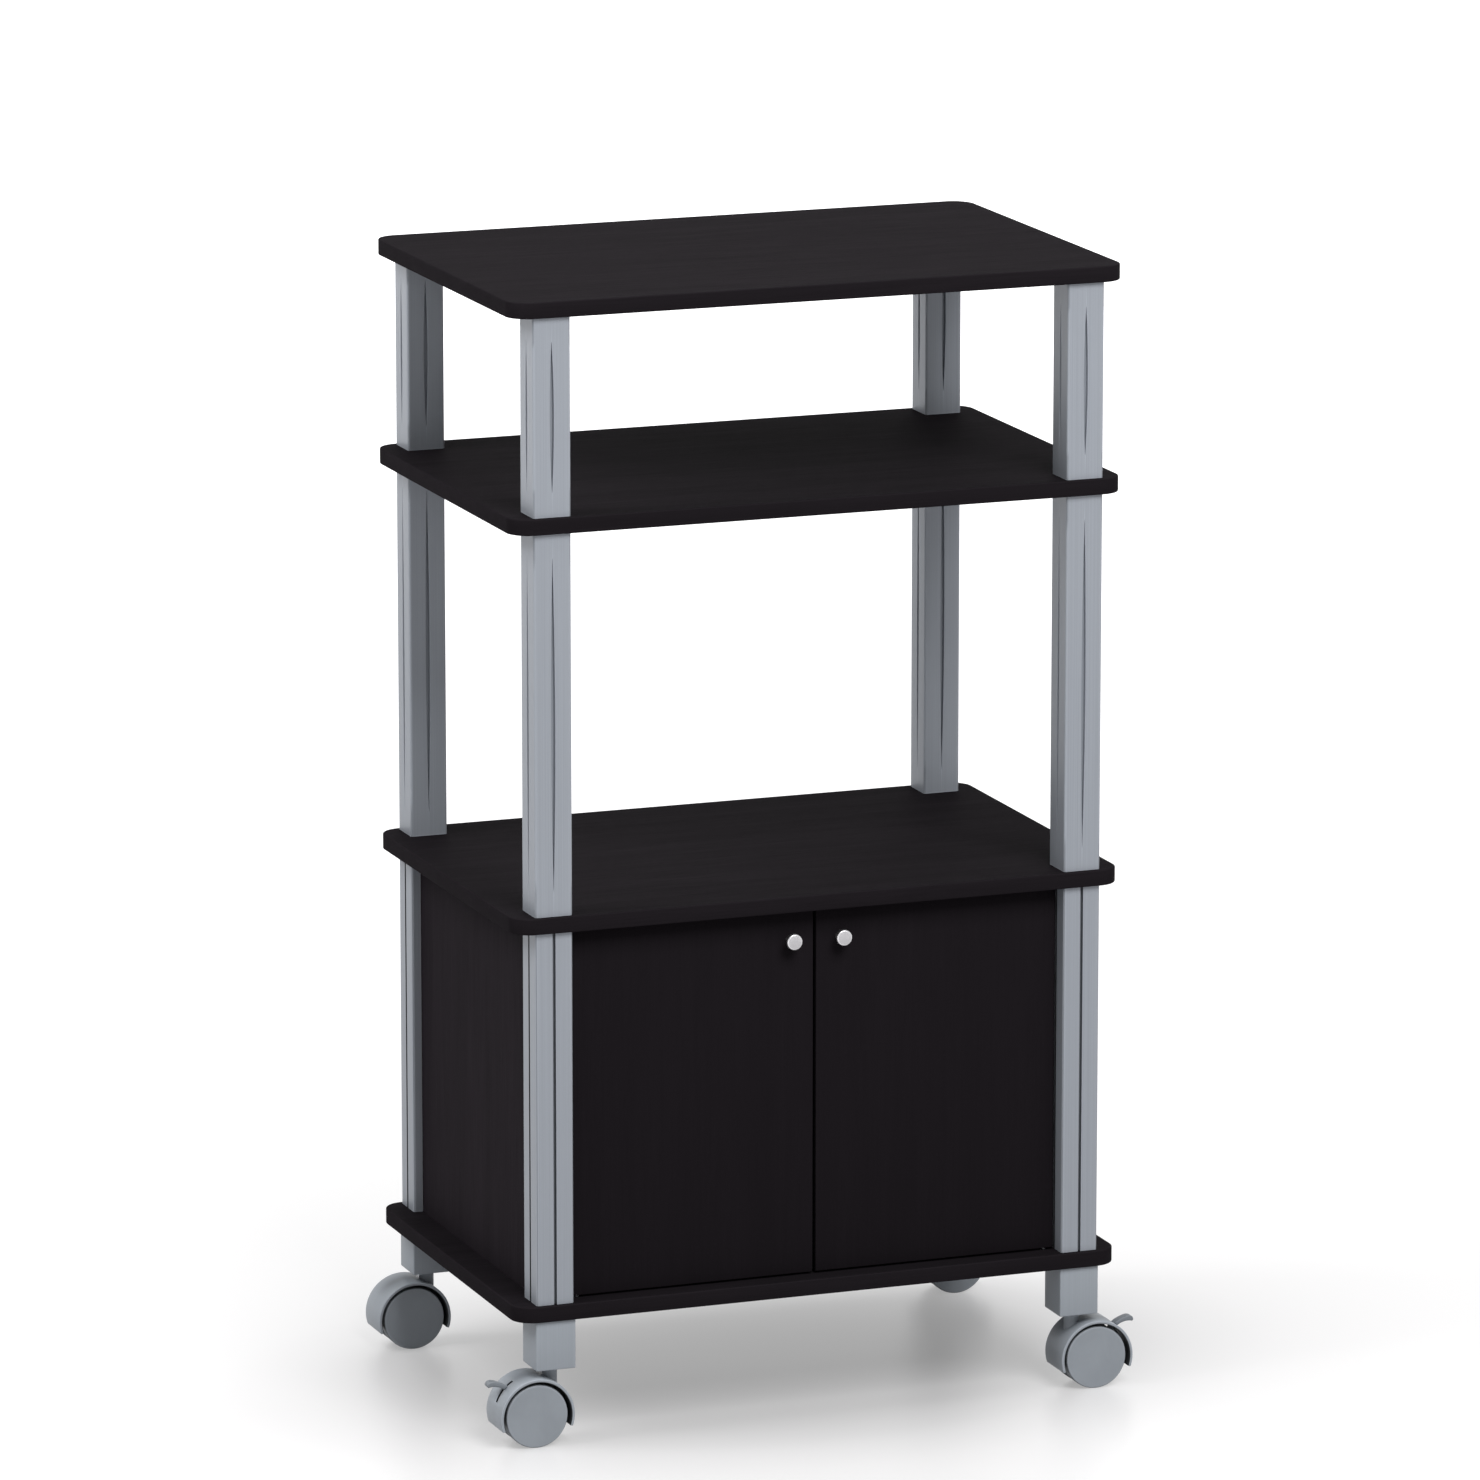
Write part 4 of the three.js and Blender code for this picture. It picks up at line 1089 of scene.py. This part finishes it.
def blade_outline(caster, sizes):
    """The blade seen along the axle: it curves up from the hood, outward and round to a thumb rest."""

    def place(rise, degrees):
        radius = sizes.hood_radius + BLADE_GAP + rise * MM
        return caster.at(radius, sizes.lever_angle + math.radians(degrees), sizes.lever_blade / 2)

    root, neck = place(0, 2.5), place(0, -3.5)
    back, tip, front = place(14.2, -5), place(16.4, -11), place(14, -12.8)
    return [
        *bend(root, place(7, 0.5), back, 7),
        *bend(back, place(17.6, -8), tip, 4),
        *bend(tip, place(15.9, -13), front, 4),
        *bend(front, place(9.1, -5.3), neck, 7),
        neck,
    ]


def make_lever(caster):
    """The brake lever: a ring on the axle, an arm through the hood's slot and a thumb blade."""
    sizes = bpy.context.scene.cart_sizes
    node = f"brake_lever_{caster.corner}"
    bm = bmesh.new()
    blade = bm.faces.new([bm.verts.new(spot) for spot in blade_outline(caster, sizes)])
    pulled = bmesh.ops.extrude_face_region(bm, geom=[blade])["geom"]
    bmesh.ops.translate(bm, vec=(0.0, -sizes.lever_blade, 0.0), verts=verts_of(pulled))
    bmesh.ops.recalc_face_normals(bm, faces=bm.faces)
    round_edges(bm, LEVER_EDGE, 3, lambda edge: abs(sum(v.co.y for v in edge.verts)) > MM)
    reach = sizes.hood_radius + 2 * BLADE_GAP
    arm = Matrix.Translation(caster.own_axle) @ Matrix.Rotation(-sizes.lever_angle, 4, "Y")
    arm = arm @ Matrix.Translation((reach / 2, 0.0, 0.0))
    block(bm, arm, reach, sizes.lever_plate, sizes.lever_arm)
    drum(bm, sizes.lever_ring / 2, sizes.ring_width, caster.along_axle, 48)
    tools = bmesh.new()
    drum(tools, sizes.axle_bore / 2, 2 * sizes.core, caster.along_axle, 48)
    bm = carved(bm, tools)
    bm.transform(caster.matrix)

    def lever_painted_shade(place):
        """Painted shade: dark in the hood, and half as dark outside, where the foot and the board shade
        the blade.
        """
        return 1.0 if (place - caster.axle).xz.length < sizes.hood_radius else LEVER_BLADE_SHADE

    body = frame["nodes"][node]["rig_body"]
    piece(bm, f"{node}_moulded", body, "grey_caster", node, painted_shade_at=lever_painted_shade)


class CART_OT_casters(Operator):
    """Makes the four twin-wheel casters and the brake levers of the front ones"""

    bl_idname = "cart.casters"
    bl_label = "Casters"

    def execute(self, context):
        for corner in CORNERS:
            caster = Caster(corner)
            make_hood(caster)
            make_stem(caster)
            for face in ("front", "back"):
                make_wheel(caster, face)
            if caster.braked:
                make_lever(caster)
        return {"FINISHED"}


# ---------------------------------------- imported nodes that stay


class CART_OT_finish(Operator):
    """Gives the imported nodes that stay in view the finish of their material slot"""

    bl_idname = "cart.finish"
    bl_label = "Finish the packed nodes"

    def execute(self, context):
        slots = {row["node"]: row["material_slot"] for row in frame["record"]["subparts"]}
        for name, node in frame["nodes"].items():
            finish = finishes()[slots[name]]
            for material_slot in node.material_slots:
                material_slot.material = finish
        return {"FINISHED"}


# ---------------------------------------- stage


AMBIENT = 0.36
LAMP_SIZE = 2.2
# Each lamp's power in watts and its place, from which it shines on the middle of the cart.
LAMPS = {"front": (152.0, (0.4, -3.25, 3.8)), "left": (94.0, (-3.25, 0.2, 3.8))}
LIT_PLACE = Vector((0.0, 0.0, 0.55))
FLOOR_SIZE = 30.0
FLOOR_COLOUR = (0.4, 0.394, 0.398, 1.0)
WHITE = (1.0, 1.0, 1.0, 1.0)
# The floor's glow, by the distance from the cart in half footprints, as a share of the reach. It is
# least under the cart, which paints a shadow there over the real one.
PER_FOOTPRINT = (1 / 0.3, 1 / 0.2, 1.0)
GLOW_REACH = 8.0
GLOW_NEAR = (0.0, 0.23)
GLOW_FAR = (1.0, 0.76)
GLOW_BETWEEN = ((0.1, 0.25), (0.15, 0.34), (0.19, 0.45), (0.25, 0.54), (0.4, 0.6))
# The camera's place in metres and its turns in degrees, as fitted to the photograph.
CAMERA_PLACE = (-3.12106, -8.26921, 2.55922)
CAMERA_FALL = 12.465
CAMERA_TURN = -20.64
LENS = 235.54


def area_light(name, power, place):
    """A large square lamp, turned to the cart."""
    lamp = bpy.data.lights.new(name, "AREA")
    lamp.shape = "RECTANGLE"
    lamp.size = lamp.size_y = LAMP_SIZE
    lamp.energy = power
    made = placed(name, lamp)
    made.location = place
    made.rotation_euler = (LIT_PLACE - Vector(place)).to_track_quat("-Z", "Y").to_euler()


def make_world():
    """An even pale world that looks white and lights the cart less than that."""
    world = bpy.data.worlds.new("studio")
    bpy.context.scene.world = world
    nodes = Nodes(world)
    strength = nodes.add("MapRange", Value=nodes.background_share(), To_Min=AMBIENT, To_Max=1.0)
    background = {"Color": WHITE, "Strength": strength.outputs["Result"]}
    nodes.fill(nodes.tree.nodes["Background"], background)


def make_floor():
    """The floor, which glows in the camera's eye so that it pales to white away from the cart, and glows
    least under it, which paints a shadow there.
    """
    bm = bmesh.new()
    bmesh.ops.create_grid(bm, x_segments=1, y_segments=1, size=FLOOR_SIZE)
    floor = placed_mesh("studio_floor", bm)
    settings = {"Base_Color": FLOOR_COLOUR, "Roughness": 0.35, "Specular_IOR_Level": 0.4}
    finish = Finish("studio_floor", **settings)
    footprint = finish.add("Mapping", Vector=finish.place, Scale=PER_FOOTPRINT)
    distance = finish.add("VectorMath")
    distance.operation = "LENGTH"
    finish.fill(distance, {0: footprint.outputs["Vector"]})
    reach = finish.math("MULTIPLY", distance.outputs["Value"], 1.0 / GLOW_REACH)
    glow = finish.add("FloatCurve", Value=reach)
    curve = glow.mapping.curves[0]
    curve.points[0].location = GLOW_NEAR
    curve.points[1].location = GLOW_FAR
    for spot in GLOW_BETWEEN:
        curve.points.new(*spot)
    glow.mapping.update()
    seen = finish.math("MULTIPLY", finish.background_share(), glow.outputs["Value"])
    finish.fill(finish.shader, {"Emission Color": WHITE, "Emission Strength": seen})
    floor.data.materials.append(finish.material)


def make_camera():
    """The camera at the photograph's view: from the left and a little above, through a long lens."""
    camera = bpy.data.cameras.new("camera")
    camera.sensor_width = 36.0
    camera.lens = LENS
    camera.clip_end = 200.0
    made = placed("camera", camera)
    made.location = CAMERA_PLACE
    made.rotation_euler = (math.radians(90.0 - CAMERA_FALL), 0.0, math.radians(CAMERA_TURN))
    bpy.context.scene.camera = made


class CART_OT_stage(Operator):
    """Makes the pale floor, the soft studio light and the camera"""

    bl_idname = "cart.stage"
    bl_label = "Stage"

    def execute(self, context):
        context.scene.view_settings.view_transform = "Standard"
        make_world()
        make_floor()
        for name, (power, place) in LAMPS.items():
            area_light(name, power, place)
        make_camera()
        return {"FINISHED"}


# ---------------------------------------- panel


STEPS = (
    CART_OT_finish,
    CART_OT_boards,
    CART_OT_posts,
    CART_OT_feet,
    CART_OT_doors,
    CART_OT_casters,
    CART_OT_stage,
)


class CART_PT_cart(Panel):
    """Lists the cart's steps, sizes and colours"""

    bl_idname = "CART_PT_cart"
    bl_label = "Microwave Cart"
    bl_space_type = "VIEW_3D"
    bl_region_type = "UI"
    bl_category = "Cart"

    def draw(self, context):
        layout = self.layout
        for step in STEPS:
            layout.operator(step.bl_idname)
        for group in (context.scene.cart_sizes, context.scene.cart_colours):
            box = layout.box()
            for name in group.__annotations__:
                box.prop(group, name)


CLASSES = (CartSizes, CartColours, *STEPS, CART_PT_cart)


def register():
    for made in CLASSES:
        bpy.utils.register_class(made)
    bpy.types.Scene.cart_sizes = PointerProperty(type=CartSizes)
    bpy.types.Scene.cart_colours = PointerProperty(type=CartColours)


def unregister():
    del bpy.types.Scene.cart_colours
    del bpy.types.Scene.cart_sizes
    for made in reversed(CLASSES):
        bpy.utils.unregister_class(made)


def main():
    register()
    for step in STEPS:
        group, name = step.bl_idname.split(".")
        getattr(getattr(bpy.ops, group), name)()


if __name__ == "__main__":
    main()
